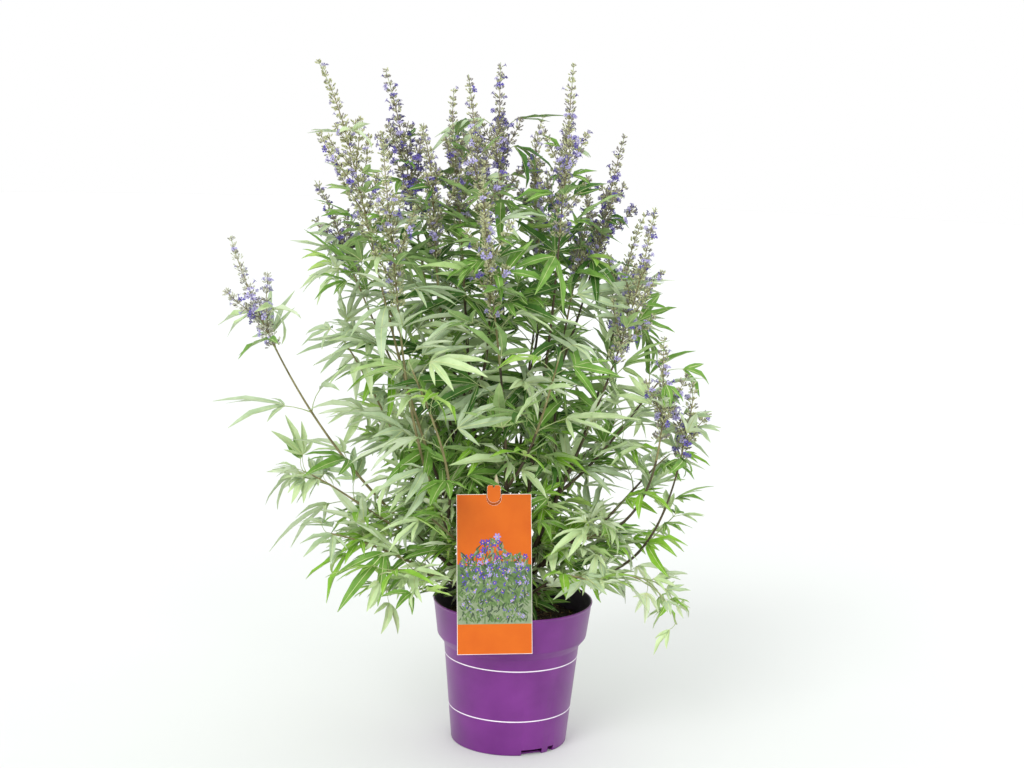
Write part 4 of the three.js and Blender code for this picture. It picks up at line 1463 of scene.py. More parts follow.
@dataclass
class Room:
    """Where leaves may go: within the crown's reach, off the label's front, and out of the pot and soil."""

    trunk: Trunk
    pot: NurseryPot
    label: CardLabel
    crown_reach: float = 200.0
    leaf_reach: float = 62.0
    spire_leaf_reach: float = 40.0
    label_room: float = 7.0
    rim_room: float = 16.0
    wall_room: float = 5.0
    mouth_room: float = 30.0
    front: float = -50.0
    spare: float = 3.0

    def __post_init__(self) -> None:
        """Keeps the way from the plant's coordinates to the label's."""
        self.to_label = np.array(self.label.matrix().inverted())

    def holds(self, points: Array, shoot: Shoot) -> bool:
        """Tells whether all of a leaf is in free space.

        Args:
            points: Points of the leaf, in the plant's coordinates.
            shoot: The shoot that it stands on.

        Returns:
            Whether it has room.
        """
        own_reach = shoot.reach + (self.spire_leaf_reach if shoot.spike else self.leaf_reach)
        if np.hypot(points[:, 0], points[:, 1]).max() > max(self.crown_reach, own_reach):
            return False
        spots = points + self.trunk.foot()
        from_axis = np.hypot(spots[:, 0], spots[:, 1])
        rim = self.pot.rim_radius + self.rim_room
        over_rim = spots[:, 2] > self.pot.height + self.spare
        over_soil = spots[:, 2] > self.trunk.soil_height + self.spare
        inside = over_soil & (from_axis < self.pot.collar_radius - self.wall_room)
        if not np.all(over_rim | inside | (from_axis > rim)):
            return False
        before_pot = (spots[:, 1] < self.front) & (np.abs(spots[:, 0]) < rim)
        if np.any(before_pot & (spots[:, 2] < self.pot.height + self.mouth_room)):
            return False
        on_label = spots @ self.to_label[:3, :3].T + self.to_label[:3, 3]
        beside = np.abs(on_label[:, 0]) > self.label.width / 2 + self.label_room
        beyond = np.abs(on_label[:, 1]) > self.label.length / 2 + self.label_room
        return bool(np.all(beside | beyond | (on_label[:, 2] < -self.label_room)))


@dataclass(frozen=True)
class LeafPose:
    """One way for a leaf to stand: its size, its rise along the stem, and its swing to the side."""

    size: float
    rise: float
    swing: float


LEAF_POSES = (
    LeafPose(1.0, 0.5, 0),
    LeafPose(0.9, 1.0, 35),
    LeafPose(0.9, 1.0, -35),
    LeafPose(0.75, 1.9, 0),
    LeafPose(0.75, 1.9, 50),
    LeafPose(0.75, 1.9, -50),
    LeafPose(0.6, 2.4, 0),
)


@dataclass(frozen=True)
class ToneZone:
    """Leaf tone shares below a height, on the crown's left, middle and right, painting light and shade."""

    top: float
    left: Numbers
    middle: Numbers
    right: Numbers


# Painted light and shade: paler leaves on the crown's sides, palest far left, deeper ones in its middle
LEFT_EDGE, RIGHT_EDGE, FAR_EDGE = -105.0, 90.0, -220.0
FAR_LEFT_PAINTED_LIGHT_SHARES = (0.0, 0.03, 0.40, 0.02, 0.55)
TONE_ZONES_WITH_PAINTED_LIGHT = (
    ToneZone(140, left=(0.00, 0.14, 0.24, 0.18, 0.44), middle=(0.08, 0.36, 0.04, 0.32, 0.20),
             right=(0.00, 0.11, 0.20, 0.14, 0.55)),
    ToneZone(280, left=(0.00, 0.12, 0.40, 0.06, 0.42), middle=(0.20, 0.44, 0.06, 0.18, 0.12),
             right=(0.04, 0.16, 0.28, 0.08, 0.44)),
    ToneZone(480, left=(0.03, 0.13, 0.48, 0.03, 0.33), middle=(0.26, 0.44, 0.10, 0.06, 0.14),
             right=(0.10, 0.26, 0.30, 0.03, 0.31)),
    ToneZone(math.inf, left=(0.28, 0.34, 0.26, 0.03, 0.09), middle=(0.44, 0.40, 0.08, 0.04, 0.04),
             right=(0.32, 0.38, 0.20, 0.02, 0.08)),
)


@dataclass
class LeafHand:
    """The shape of a palmate leaf: leaflets like fingers, each a folded lance that bends down.

    Each span from turn_shares to pitches holds a least value and what chance may add to it.
    """

    blade_length: float = 104.0
    half_width: float = 0.077
    stubby_half_width: float = 0.155
    stalk_length: float = 40.0
    spread: float = 34.0
    finger_lengths: Numbers = (1.0, 0.84, 0.5, 0.28)
    rows: Numbers = (0.0, 0.13, 0.32, 0.56, 0.8, 1.0)
    rib_width: float = 0.6
    rib_lift: float = 0.16
    skin: float = 0.12
    rib_depth: float = 0.4
    waviness: float = 0.55
    turn_shares: Span = (0.7, 0.5)
    size_shares: Span = (0.78, 0.36)
    bends: Span = (6.0, 58.0)
    bend_shares: Span = (0.4, 0.8)
    folds: Span = (10.0, 30.0)
    sway: float = 0.36
    pitches: Span = (-16.0, 38.0)
    outer_pitch: float = 6.0

    def __post_init__(self) -> None:
        """Works out the widths of a leaflet from base to tip, and its triangles."""
        self.along = np.array(self.rows)
        self.widths = np.maximum(np.sin(math.pi * self.along ** 0.82) ** 0.9, 0.05)
        self.faces, self.face_finish = self.leaflet_faces()

    def leaflet_faces(self) -> Shape:
        """Returns the triangles of one leaflet, of twelve corners a row, and the finish of each."""
        upper = [(0, 1, 13), (0, 13, 12), (2, 3, 15), (2, 15, 14)]
        under = [(4, 17, 5), (4, 16, 17), (6, 19, 7), (6, 18, 19)]
        ribs = [(8, 9, 21), (8, 21, 20), (10, 23, 11), (10, 22, 23)]
        step = np.array(upper + under + ribs)
        finish = np.array([0] * 4 + [1] * 4 + [2] * 4)
        gaps = len(self.rows) - 1
        return np.concatenate([step + 12 * i for i in range(gaps)]), np.tile(finish, gaps)

    def spread_out(self, size: float, fingers: int, droop: float, jitter: list[float]) -> Array:
        """Works out the corners of a hand of leaflets.

        Args:
            size: The leaf's size, 1 for the largest.
            fingers: How many leaflets it has.
            droop: How much they droop, from 0 to 1.
            jitter: Three numbers for each leaflet.

        Returns:
            The corners by leaflet, row and place in the row.
        """
        index = np.arange(fingers) - (fingers - 1) / 2
        rank = np.abs(index).astype(int)
        first, second, third = np.array(jitter).reshape(fingers, 3).T
        turns = np.radians(index * self.spread * (self.turn_shares[0] + self.turn_shares[1] * first))
        lengths = self.blade_length * size * np.array(self.finger_lengths)[rank]
        lengths = lengths * (self.size_shares[0] + self.size_shares[1] * second)
        bent = self.bend_shares[0] + self.bend_shares[1] * third
        bends = np.radians(self.bends[0] + self.bends[1] * droop * bent)
        folds = np.radians(self.folds[0] + self.folds[1] * first)
        sways = (third - 0.5) * self.sway
        pitches = np.radians(self.pitches[0] + self.pitches[1] * droop * second + self.outer_pitch * rank)
        half_width = lerp(self.stubby_half_width, self.half_width, min(1.0, size))
        return self.corners(np.stack([turns, lengths, bends, folds, sways, pitches], 1), half_width)

    def corners(self, leaflets: Array, half_width: float) -> Array:
        """Works out the corners of all the leaflets of a leaf, in its own axes.

        Args:
            leaflets: Six numbers for each: its turn from the stalk's line, its length, how far it bends
                down from base to tip, how steeply its halves rise from the midrib, its sway to the side as
                a share of its length, and how steeply it points down at its base. Angles are in radians.
            half_width: Half of their width, as a share of their length.

        Returns:
            The corners by leaflet, row and place in the row.
        """
        t = self.along[None, :]
        turn, length, bend, fold, sway, pitch = leaflets.T[:, :, None]
        tilt = pitch + bend * t
        y = length * (np.sin(tilt) - np.sin(pitch)) / bend
        z = length * (np.cos(tilt) - np.cos(pitch)) / bend
        middle = np.stack([sway * length * t * t, y, z], -1)
        normal = np.stack([np.zeros_like(tilt), np.sin(tilt), np.cos(tilt)], -1)
        half = half_width * length * self.widths[None, :]
        out = np.zeros_like(middle)
        out[..., 0] = half * np.cos(fold)
        wave = 1 + self.waviness * np.sin(14 * t + 40 * sway)
        lift = (half * np.sin(fold) * wave)[..., None] * normal
        rib = np.zeros_like(middle)
        rib[..., 0] = self.rib_width * (1.1 - t) + 0.05
        left, right = middle - out + lift, middle + out + lift
        sunk = middle - self.rib_depth * (1.05 - t)[..., None] * normal
        thin = self.skin * normal
        raised = middle + self.rib_lift * normal
        keel = sunk - self.rib_lift * normal
        columns = [left, middle, middle, right, left - thin, sunk, sunk, right - thin,
                   raised - rib, raised + rib, keel - rib, keel + rib]
        block = np.stack(columns, 2)
        cos, sin = np.cos(turn)[..., None], np.sin(turn)[..., None]
        x, y = block[..., 0] * cos + block[..., 1] * sin, block[..., 1] * cos - block[..., 0] * sin
        return np.stack([x, y, block[..., 2]], -1)


@dataclass
class Foliage:
    """All the leaves, in opposite pairs on the shoots and on the finer twigs in their axils."""

    growth: Growth
    room: Room
    hand: LeafHand = field(default_factory=LeafHand)
    smallest: float = 0.34
    first_pair: float = 16.0
    widest_gap: float = 58.0
    closest_gap: float = 40.0
    twig_share: float = 0.38
    twiggy_height: float = 230.0
    bough_twig_gap: float = 27.0
    twig_top: float = 0.85
    five_fingered: float = 0.7
    leaf_roll: float = 46.0
    leaf_tilts: Span = (-0.45, 0.4)
    stalk_radii: Numbers = (1.35, 0.9, 0.8, 0.85)
    stalk_radius: float = 0.75
    twig_radii: Span = (1.15, 0.7)
    twig_lengths: Span = (34.0, 92.0)
    bough_twig_lengths: Span = (34.0, 74.0)
    hanging_length: float = 78.0
    hanging_step: float = 9.0
    hanging_droop: float = 2.6
    hanging_turns: Numbers = (-35.0, 40.0, 5.0)
    stem_step: float = 7.0
    stem_radius: float = 2.2
    stem_tip_radius: float = 1.0
    node_swell: float = 0.22
    node_reach: float = 3.5
    woody_shares: Numbers = (0.14, 0.42, 0.82)
    ripe_share: float = 0.94
    vigour_heights: Numbers = (60.0, 190.0, 310.0, 480.0, 590.0)
    vigours: Numbers = (0.8, 0.88, 0.98, 0.98, 0.66)
    shaded_from: float = 60.0
    shade_heights: Span = (200.0, 330.0)
    shades: Span = (0.84, 1.0)

    STEMS = {
        STALK_SKIN: ("leaf_stalks", "foliage"),
        STEM_WOODY: ("stems_woody", "bark"),
        STEM_RIPE: ("stems_ripening", "bark"),
        STEM_GREEN: ("stems_green", "foliage"),
    }

    def __post_init__(self) -> None:
        """Starts a pile for each kind of piece."""
        self.leaves = {tone: Pile() for tone in Tone}
        self.stems = {finish: Pile() for finish in self.STEMS}
        self.foot = self.growth.trunk.foot()
        self.count = 0

    def tone(self, spot: Array, stream: Stream) -> Tone:
        """Chooses a leaf's tone: deep at the top of the crown, fresh and pale below, greyer to both sides.

        Args:
            spot: Where the leaf is.
            stream: The shoot's numbers.

        Returns:
            The tone.
        """
        # The zone's shares paint light: paler leaves on the crown's sides, deeper shade in its middle
        zone = next(zone for zone in TONE_ZONES_WITH_PAINTED_LIGHT if spot[2] < zone.top)
        shares = zone.left if spot[0] < LEFT_EDGE else zone.right if spot[0] > RIGHT_EDGE else zone.middle
        shares = FAR_LEFT_PAINTED_LIGHT_SHARES if spot[0] < FAR_EDGE else shares
        drawn = stream.draw()
        for tone, share in zip(Tone, shares):
            drawn -= share
            if drawn < 0:
                return tone
        return Tone.MID

    def leaf(self, mass: Mass, foot: Array, tangent: Array, heading: float, size: float,
             fingers: int) -> bool:
        """Grows one leaf in the first pose that has room.

        Args:
            mass: The shoot that it belongs to.
            foot: Where its stalk leaves the stem.
            tangent: The stem's direction there.
            heading: The leaf's heading in degrees.
            size: Its size, 1 for the largest.
            fingers: How many leaflets it has.

        Returns:
            Whether it had room.
        """
        stream = mass.stream
        roll = math.radians(stream.give_or_take(self.leaf_roll))
        droop = stream.draw()
        tilt = stream.between(*self.leaf_tilts)
        jitter = [stream.draw() for _ in range(fingers * 3)]
        size = max(self.smallest, size * self.vigour(foot))
        for pose in LEAF_POSES:
            outward = off_axis(aim(heading + pose.swing, 0), tangent)
            direction = unit(outward + tangent * (pose.rise + 0.25))
            reach = self.hand.stalk_length * size * pose.size
            bow = foot + reach * 0.55 * unit(direction + tangent * 0.5)
            end = foot + reach * unit(direction + UP * 0.15)
            frame = self.leaf_frame(unit(direction * (1, 1, 0.45) + UP * tilt), roll)
            block = self.hand.spread_out(size * pose.size, fingers, droop, jitter)
            corners = block @ frame.T + end
            probes = corners[:, 1::2, 1::6].reshape(-1, 3)
            if self.room.holds(np.concatenate([probes, end[None]]), mass.shoot):
                self.lay(corners, self.tone(end, stream))
                self.stalk(foot, bow, end, size)
                return True
        return False

    def vigour(self, spot: Array) -> float:
        """Returns how large leaves grow at a place: small near the soil, most of all on the right."""
        full = np.interp(spot[2], self.vigour_heights, self.vigours)
        shade = np.interp(spot[2], self.shade_heights, self.shades)
        return float(full * (shade if spot[0] > self.shaded_from else 1.0))

    def leaf_frame(self, direction: Array, roll: float) -> Array:
        """Returns a leaf's three axes as columns: across, along its stalk, and out of its upper side."""
        across = unit(np.cross(direction, UP + 1e-3))
        face = np.cross(across, direction)
        rolled = across * math.cos(roll) - face * math.sin(roll)
        return np.stack([rolled, direction, np.cross(rolled, direction)], 1)

    def lay(self, corners: Array, tone: Tone) -> None:
        """Adds the leaflets of one leaf to the pile of its tone."""
        per_leaflet = corners.shape[1] * corners.shape[2]
        faces = np.concatenate([self.hand.faces + i * per_leaflet for i in range(len(corners))])
        finish = np.tile(self.hand.face_finish, len(corners))
        self.leaves[tone].add((corners.reshape(-1, 3) + self.foot, faces), finish)
        self.count += 1

    def stalk(self, foot: Array, bow: Array, end: Array, size: float) -> None:
        """Adds a leaf's stalk, which bows up and then out to the blade."""
        t = np.linspace(0, 1, 4)[:, None]
        line = (1 - t) ** 2 * foot + 2 * t * (1 - t) * bow + t * t * end
        radii = np.array(self.stalk_radii) * self.stalk_radius * max(0.6, size)
        self.stems[STALK_SKIN].add(tube(line + self.foot, radii, 4))

    def twig(self, mass: Mass, foot: Array, tangent: Array, heading: float, length: float,
             droop: float = 0.0) -> None:
        """Grows a finer twig in a leaf's axil, with pairs of small leaves and a small leaf at its tip.

        Args:
            mass: The shoot that it belongs to.
            foot: Where it leaves the stem.
            tangent: The stem's direction there.
            heading: Its heading in degrees.
            length: Its length.
            droop: How strongly it hangs.
        """
        stream = mass.stream
        outward = off_axis(aim(heading, 0), tangent)
        leaving = unit(outward * 0.8 + tangent)
        arriving = unit(outward + tangent * stream.between(0.4, 1.2) - UP * droop)
        end = foot + length * unit(leaving + arriving)
        if not self.room.holds(np.array([end, end - UP * 8]), mass.shoot):
            return
        curve = Sweep(foot, end, leaving, arriving)
        pairs = 1 if length < 44 else 2
        first = stream.draw() * 90
        for pair in range(pairs):
            share = (pair + 1) / pairs
            fingers = 3 if pair == pairs - 1 else 5
            for half in (0, 180):
                size = stream.between(0.5, 0.74) * lerp(1.1, 0.85, share)
                turn = first + pair * 90 + half
                self.leaf(mass, curve.point(share * 0.96), curve.tangent(share), turn, size, fingers)
        self.leaf(mass, end, curve.tangent(1), heading, stream.between(0.42, 0.6), 3)
        line = curve.points(np.linspace(0, 1, 6)) + self.foot
        self.stems[STEM_GREEN].add(tube(line, np.linspace(*self.twig_radii, len(line)), 5))

    def pair_lengths(self, mass: Mass) -> list[float]:
        """Places the pairs of leaves on a stem, closer together towards its tip.

        Args:
            mass: The shoot.

        Returns:
            How far up the stem each pair stands.
        """
        lengths = []
        reached = self.first_pair
        while reached < mass.leafy_length - 3:
            lengths.append(reached)
            gap = lerp(self.widest_gap, self.closest_gap, reached / mass.leafy_length)
            vigour = self.vigour(mass.curve.point(reached / mass.curve.length))
            reached += gap * mass.shoot.openness * vigour
        return lengths

    def clothe(self, mass: Mass) -> None:
        """Grows the leaves and twigs of one shoot, and its stem.

        Args:
            mass: The shoot.
        """
        stream, curve, shoot = mass.stream, mass.curve, mass.shoot
        lengths = self.pair_lengths(mass)
        for pair, reached in enumerate(lengths):
            share = reached / mass.leafy_length
            foot, tangent = curve.at(reached / curve.length)
            size = 0.84 + 0.24 * math.sin(math.pi * share ** 0.9) - 0.12 * share
            for half in (0, 180):
                heading = mass.first_turn + pair * 90 + half + stream.give_or_take(15)
                fingers = 5 if stream.draw() < self.five_fingered else 3
                self.leaf(mass, foot, tangent, heading, size * stream.between(0.85, 1.1), fingers)
                low = 1.0 if foot[2] < self.twiggy_height else 0.4
                grows = stream.draw() < self.twig_share * low / shoot.openness ** 2
                if grows and share < self.twig_top and shoot.openness < 2:
                    length = stream.between(*self.twig_lengths) * (1.1 - share * 0.6)
                    self.twig(mass, foot, tangent, heading + stream.give_or_take(20), length)
        if not shoot.spike:
            self.leaf(mass, *curve.at(1), mass.first_turn, 0.5, 3)
        for i in range(shoot.hanging):
            share = 1 - 0.13 * i
            heading = shoot.heading + self.hanging_turns[i % len(self.hanging_turns)]
            length = self.hanging_length - self.hanging_step * i
            self.twig(mass, *curve.at(share), heading, length, self.hanging_droop)
        for share, size in shoot.spire_leaves if shoot.spike else ():
            along = 1 - shoot.spike * share / curve.length
            for half in (0, 180):
                heading = mass.spike_turn + 90 + half + stream.give_or_take(35)
                self.leaf(mass, *curve.at(along), heading, size, 3)
        self.stem(mass, lengths)

    def clothe_bough(self, bough: Bough, curve: Sweep) -> None:
        """Grows small leafy twigs on a bough, on its two sides by turns.

        Args:
            bough: The bough.
            curve: Its curve.
        """
        mass = next(mass for mass in self.growth.masses if mass.shoot is bough.shoots[0])
        gap = self.bough_twig_gap * mass.shoot.openness ** 1.3 / bough.twigginess
        for i in range(int(curve.length / gap)):
            share = (i + 1.6) * gap / curve.length
            if share < 1:
                heading = bough.heading + (90 if i % 2 else -90) + mass.stream.give_or_take(60)
                length = mass.stream.between(*self.bough_twig_lengths)
                self.twig(mass, *curve.at(share), heading, length)

    def stem(self, mass: Mass, nodes: list[float]) -> None:
        """Adds a shoot's stem, from woody to green, a little thicker at each pair of leaves.

        Args:
            mass: The shoot.
            nodes: How far up the stem each pair stands.
        """
        length = mass.curve.length
        rings = max(12, round(length / self.stem_step))
        shares = np.linspace(0, 1, rings + 1)
        thinned = np.minimum(shares * length / mass.leafy_length, 1)
        taper = self.stem_radius + (self.stem_tip_radius - self.stem_radius) * thinned
        past = np.maximum(shares - mass.leafy_length / length, 0)
        radii = taper * (1 - 0.55 * past * length / max(mass.shoot.spike, 1))
        for node in nodes:
            away = (shares * length - node) / self.node_reach
            radii = radii * (1 + self.node_swell * np.exp(-away ** 2))
        line = mass.curve.points(shares) + self.foot
        dark = np.interp(line[-1][0], (-200, 0, 200), self.woody_shares) * length
        change = min(nodes, key=lambda node: abs(node - dark)) / length
        first, last = round(rings * change), round(rings * self.ripe_share)
        self.stems[STEM_WOODY].add(tube(line[:first + 1], radii[:first + 1], 8))
        self.stems[STEM_RIPE].add(tube(line[first:last + 1], radii[first:last + 1], 8))
        self.stems[STEM_GREEN].add(tube(line[last:], radii[last:], 7))

    def build(self) -> None:
        """Grows and joins all the leaves, their stalks and their stems."""
        for mass in self.growth.masses:
            self.clothe(mass)
        for bough, curve in self.growth.boughs:
            self.clothe_bough(bough, curve)
        leafy = [mass.shoot.name for mass in self.growth.masses if not mass.shoot.spike]
        for tone, pile in self.leaves.items():
            piece = pile.piece(f"leaves_{tone.value[0]}", tone.finishes())
            if tone is Tone.MID:
                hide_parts(*leafy)
        for finish, (name, slot) in self.STEMS.items():
            self.stems[finish].piece(name, [finish])
        log.info("%d leaves", self.count)


@dataclass
class Blossom:
    """The spires: whorls of downy calyces and small flowers, and the side spikes at their feet."""

    growth: Growth
    whorl_gap: float = 12.5
    tip_gap: float = 8.8
    foot_radius: float = 14.5
    tip_radius: float = 6.4
    low_share: float = 0.25
    side_share: float = 0.4
    side_start: float = 22.0
    side_lean: float = 30.0
    side_bare: float = 0.22
    side_width: float = 0.55
    side_radii: Span = (0.8, 0.4)
    side_pairs: Spans = ((1.12, 0.7), (0.97, 1.0), (0.8, 0.72), (0.62, 0.4))
    short_spike: float = 130.0
    calyx_length: float = 6.0
    calyx_radius: float = 1.2
    cluster_spread: float = 74.0
    petal_reach: float = 5.2
    petals: int = 5
    petal_width: float = 0.34
    lip_size: float = 1.4
    petal_size: float = 0.9
    full_age: float = 1.25
    foot_age: float = 0.15
    foot_readiness: float = 0.8
    readiest: float = 2.2
    least_ready: float = 0.08
    bud_age: float = 0.88
    bud_readiness: float = 0.15
    stalk_rise: float = 0.45
    stalk_reach: float = 0.7
    stalk_radii: Span = (0.5, 0.35)
    cluster_calyces: Span = (2.8, 0.85)
    calyx_rises: Span = (-1.0, 1.9)
    calyx_reaches: Span = (0.06, 0.66)
    calyx_slants: Span = (0.35, 1.7)
    calyx_sizes: Span = (0.8, 1.15)
    tip_calyx: float = 0.72
    mouth_height: float = 1.5
    petal_reaches: Span = (0.7, 1.1)

    PIECES = {
        CALYX_GREEN: "calyces_olive",
        CALYX_GREY: "calyces_grey_violet",
        CALYX_PALE: "calyces_pale",
        PETAL_DEEP: "flowers_violet_blue",
        PETAL_LILAC: "flowers_lilac",
        STEM_RIPE: "flower_stalks",
    }

    def __post_init__(self) -> None:
        """Starts a pile for each kind of piece, and makes the small shapes that repeat."""
        self.piles = {finish: Pile() for finish in self.PIECES}
        self.calyx = self.calyx_shape()
        self.flower = self.flower_shape()
        self.foot = self.growth.trunk.foot()

    def calyx_shape(self) -> Shape:
        """Returns a calyx: a small bell with a bud in its mouth, one high and one across."""
        turns = np.radians([0, 90, 180, 270])
        rim = np.stack([np.cos(turns), np.sin(turns), np.zeros(4)], 1)
        corners = np.concatenate([rim * 0.35, rim + (0, 0, 0.72), [(0, 0, 1.0)]])
        sides = np.arange(4)
        after = (sides + 1) % 4
        walls = [np.stack([sides, after, after + 4], 1), np.stack([sides, after + 4, sides + 4], 1)]
        cap = np.stack([sides + 4, after + 4, np.full(4, 8)], 1)
        return corners, np.concatenate([*walls, cap])

    def flower_shape(self) -> Shape:
        """Returns an open flower: a narrow tube and five petals, of which one is a larger lower lip."""
        corners, faces = [], []
        for petal in range(self.petals):
            turn = petal * math.tau / self.petals
            out = np.array([math.cos(turn), math.sin(turn), 0])
            side = np.array([-math.sin(turn), math.cos(turn), 0])
            size = self.lip_size if petal == 0 else self.petal_size
            start = len(corners)
            widest, half = out * 0.6 * size + UP * 0.22, side * self.petal_width * size
            corners += [out * 0.12, widest - half, widest + half, out * size + UP * 0.06]
            faces += [(start, start + 1, start + 2), (start + 1, start + 3, start + 2)]
        throat = len(corners)
        for turn in np.arange(4) * math.tau / 4:
            rim = np.array([math.cos(turn), math.sin(turn), 0])
            corners += [rim * 0.1 - UP * 0.9, rim * 0.24 + UP * 0.08]
        for side in range(4):
            a, b = throat + side * 2, throat + (side + 1) % 4 * 2
            faces += [(a, b, b + 1), (a, b + 1, a + 1)]
        return np.array(corners), np.array(faces)

    def readiness(self, age: float, stream: Stream) -> float:
        """Returns how readily a whorl flowers: unevenly, and less towards the spire's budding tip."""
        ready = self.full_age - age if age > self.foot_age else self.foot_readiness
        ready = ready * self.readiest * stream.draw() ** 1.6 + self.least_ready
        return ready * (self.bud_readiness if age > self.bud_age else 1.0)

    def whorl(self, centre: Array, axis: Array, radius: float, bloom: Bloom, age: float,
              stream: Stream) -> None:
        """Adds one whorl: two facing clusters of calyces on short stalks, some with open flowers.

        Args:
            centre: Where it stands on its axis.
            axis: The axis's direction.
            radius: How far it reaches.
            bloom: How far the spire is in flower.
            age: From 0 at the foot of the spire to 1 at its tip, where there are only buds.
            stream: The shoot's numbers.
        """
        deep, lilac, grey = bloom.value
        axes = facing(axis)
        first = stream.draw() * 360
        readiness = self.readiness(age, stream)
        fewest, more = self.cluster_calyces
        for cluster in (0, 180):
            middle = math.radians(first + cluster)
            arm = unit(spoke(axes, middle) + axis * self.stalk_rise)
            stalk = np.array([centre, centre + arm * radius * self.stalk_reach]) + self.foot
            self.piles[STEM_RIPE].add(tube(stalk, np.array(self.stalk_radii), 3))
            for _ in range(round(fewest + radius * more)):
                turn = middle + math.radians(stream.give_or_take(self.cluster_spread))
                out = spoke(axes, turn)
                rise = stream.between(*self.calyx_rises) * (1 + radius * 0.14)
                base = centre + out * radius * stream.between(*self.calyx_reaches) + axis * rise
                direction = unit(out + axis * stream.between(*self.calyx_slants))
                size = stream.between(*self.calyx_sizes) * lerp(1.0, self.tip_calyx, age)
                downy = CALYX_PALE if bloom is Bloom.FADED else CALYX_GREEN
                felt = CALYX_GREY if stream.draw() < grey else downy
                shape = stood(self.calyx, base + self.foot, direction, self.calyx_radius * size,
                              self.calyx_length * size)
                self.piles[felt].add(shape)
                drawn = stream.draw() / readiness
                if drawn < deep + lilac:
                    petal = PETAL_DEEP if drawn < deep else PETAL_LILAC
                    mouth = base + direction * self.calyx_length * size * self.mouth_height
                    reach = self.petal_reach * stream.between(*self.petal_reaches)
                    self.piles[petal].add(stood(self.flower, mouth + self.foot, direction, reach, reach))

    def spike(self, curve: Sweep, start: float, foot_radius: float, bloom: Bloom, stream: Stream) -> None:
        """Adds the whorls of one spike, from a length along its curve to the curve's tip.

        Args:
            curve: The spike's axis.
            start: How far along it the first whorl stands.
            foot_radius: How far the first whorl reaches.
            bloom: How far the spire is in flower.
            stream: The shoot's numbers.
        """
        reached = start
        while reached < curve.length - 1:
            age = (reached - start) / (curve.length - start)
            radius = lerp(foot_radius, self.tip_radius, age ** 0.95) * min(1.0, 0.45 + 3.5 * (1 - age))
            self.whorl(*curve.at(reached / curve.length), radius, bloom, age, stream)
            reached += lerp(self.whorl_gap, self.tip_gap, age) * stream.between(0.85, 1.15)

    def side_spikes(self, mass: Mass) -> None:
        """Adds the shorter spikes at the foot of a spire: one pair at its foot, and smaller ones above.

        Args:
            mass: The shoot that ends in the spire.
        """
        stream, curve, spike = mass.stream, mass.curve, mass.shoot.spike
        pairs = self.side_pairs if spike > self.short_spike else self.side_pairs[:2]
        for pair, (height, share) in enumerate(pairs):
            start, tangent = curve.at(1 - spike * height / curve.length)
            across = off_axis(np.cross(aim(mass.spike_turn + pair * 90, 0), tangent), tangent)
            for side in (-1, 1):
                lean = math.radians(self.side_lean + stream.give_or_take(6))
                direction = tangent * math.cos(lean) + across * side * math.sin(lean)
                length = (spike * self.side_share + self.side_start) * share * stream.between(0.85, 1.1)
                end = start + direction * length
                line = Sweep(start, end, direction, unit(direction + tangent * 0.6))
                axis = line.points(np.linspace(0, 1, 7)) + self.foot
                self.piles[STEM_RIPE].add(tube(axis, np.linspace(*self.side_radii, len(axis)), 5))
                radius = self.foot_radius * self.side_width * share ** 0.5
                self.spike(line, length * self.side_bare, radius, mass.shoot.bloom, stream)

    def build(self) -> None:
        """Adds and joins the spires."""
        spires = [mass for mass in self.growth.masses if mass.shoot.spike]
        for mass in spires:
            start = mass.leafy_length - self.low_share * mass.shoot.spike
            self.spike(mass.curve, start, self.foot_radius, mass.shoot.bloom, mass.stream)
            self.side_spikes(mass)
        for finish, name in self.PIECES.items():
            piece = self.piles[finish].piece(name, [finish])
            if finish is CALYX_GREEN:
                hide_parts(*[mass.shoot.name for mass in spires])


# Studio


@dataclass(frozen=True)
class Lamp:
    """A far, broad lamp that lights the whole studio evenly.

    Where it stands from +X, how high it stands and how broad it looks are all in degrees.
    """

    name: str
    heading: float
    steepness: float
    softness: float
    strength: float

    def hang(self) -> None:
        """Puts the lamp in the scene."""
        light = bpy.data.lights.new(self.name, "SUN")
        light.angle = math.radians(self.softness)
        light.energy = self.strength
        towards = Vector(aim(self.heading, self.steepness))
        linked(self.name, light).matrix_world = towards.to_track_quat("Z", "Y").to_matrix().to_4x4()


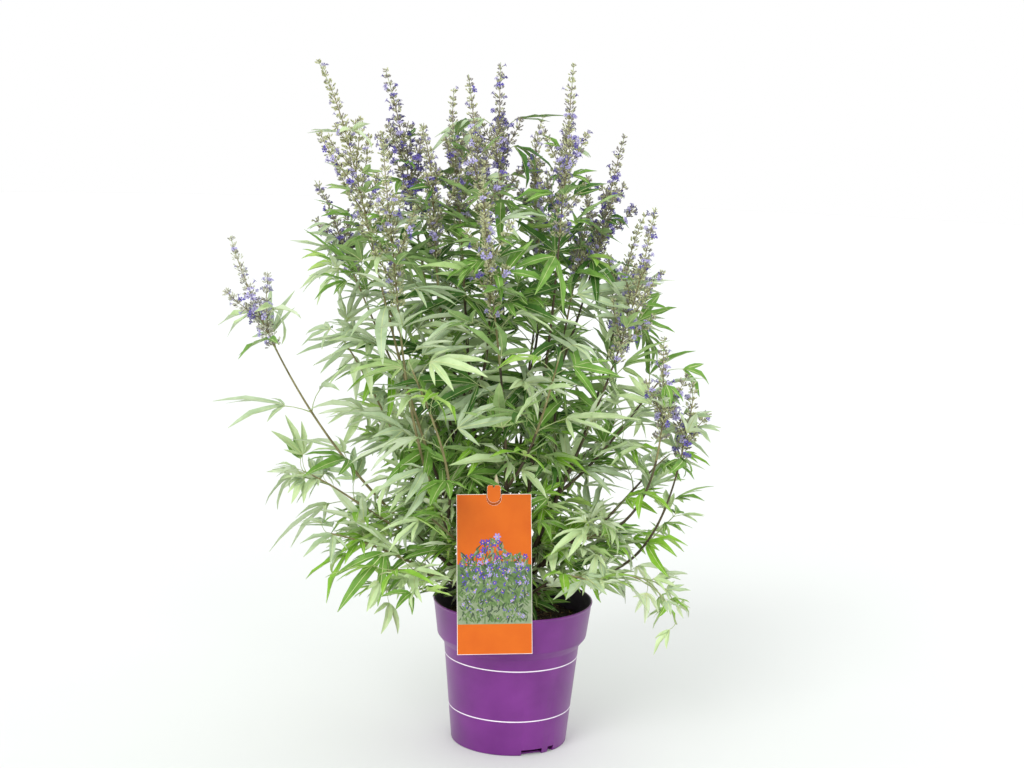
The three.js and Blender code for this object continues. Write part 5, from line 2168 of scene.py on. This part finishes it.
LAMPS = (
    Lamp("key_lamp", 240, 38, 30, 1.25),
    Lamp("fill_lamp", 288, 14, 50, 0.75),
    Lamp("back_lamp", 75, 42, 60, 0.45),
)


@dataclass
class Studio:
    """A pale floor, soft light all round with a broad lamp from the upper left, and the camera."""

    floor_radius: float = 9000.0
    floor_drop: float = 0.05
    camera_place: tuple[float, float, float] = (-11.0, -2672.0, 966.0)
    pitch: float = 9.9
    roll: float = 1.9
    lens: float = 70.3
    sky: str = "#ffffff"
    sky_strength: float = 1.0

    def build(self) -> None:
        """Builds the floor, the light and the camera."""
        scene = bpy.context.scene
        disc = bmesh.new()
        bmesh.ops.create_circle(disc, cap_ends=True, segments=96, radius=self.floor_radius * MM)
        bmesh.ops.translate(disc, vec=(0, 0, -self.floor_drop * MM), verts=disc.verts)
        mesh = meshed("studio_floor", disc)
        mesh.materials.append(STUDIO_FLOOR.material())
        floor = linked("studio_floor", mesh)
        world = bpy.data.worlds.new("studio_light")
        world.use_nodes = True
        world.node_tree.nodes.clear()
        sky = add_node(world.node_tree, "ShaderNodeBackground",
                       {"Color": linear(self.sky), "Strength": self.sky_strength})
        add_node(world.node_tree, "ShaderNodeOutputWorld", {"Surface": sky.outputs[0]})
        scene.world = world
        for lamp in LAMPS:
            lamp.hang()
        camera = bpy.data.cameras.new("photo_camera")
        camera.lens = self.lens
        camera.sensor_width = 36.0
        eye = linked("photo_camera", camera)
        turn = turned(90 - self.pitch, "X") @ turned(self.roll, "Z")
        eye.matrix_world = Matrix.Translation(Vector(self.camera_place) * MM) @ turn
        scene.camera = eye
        scene.view_settings.view_transform = "Standard"


def main() -> None:
    """Builds the studio, the pot and the plant."""
    logging.basicConfig(level=logging.INFO, format="%(message)s")
    Studio().build()
    trunk = Trunk()
    pot = NurseryPot()
    pot.build()
    PottingSoil(pot, trunk).build()
    label = CardLabel()
    label.build()
    growth = Growth(trunk)
    Framework(growth).build()
    Foliage(growth, Room(trunk, pot, label)).build()
    Blossom(growth).build()


if __name__ == "__main__":
    main()
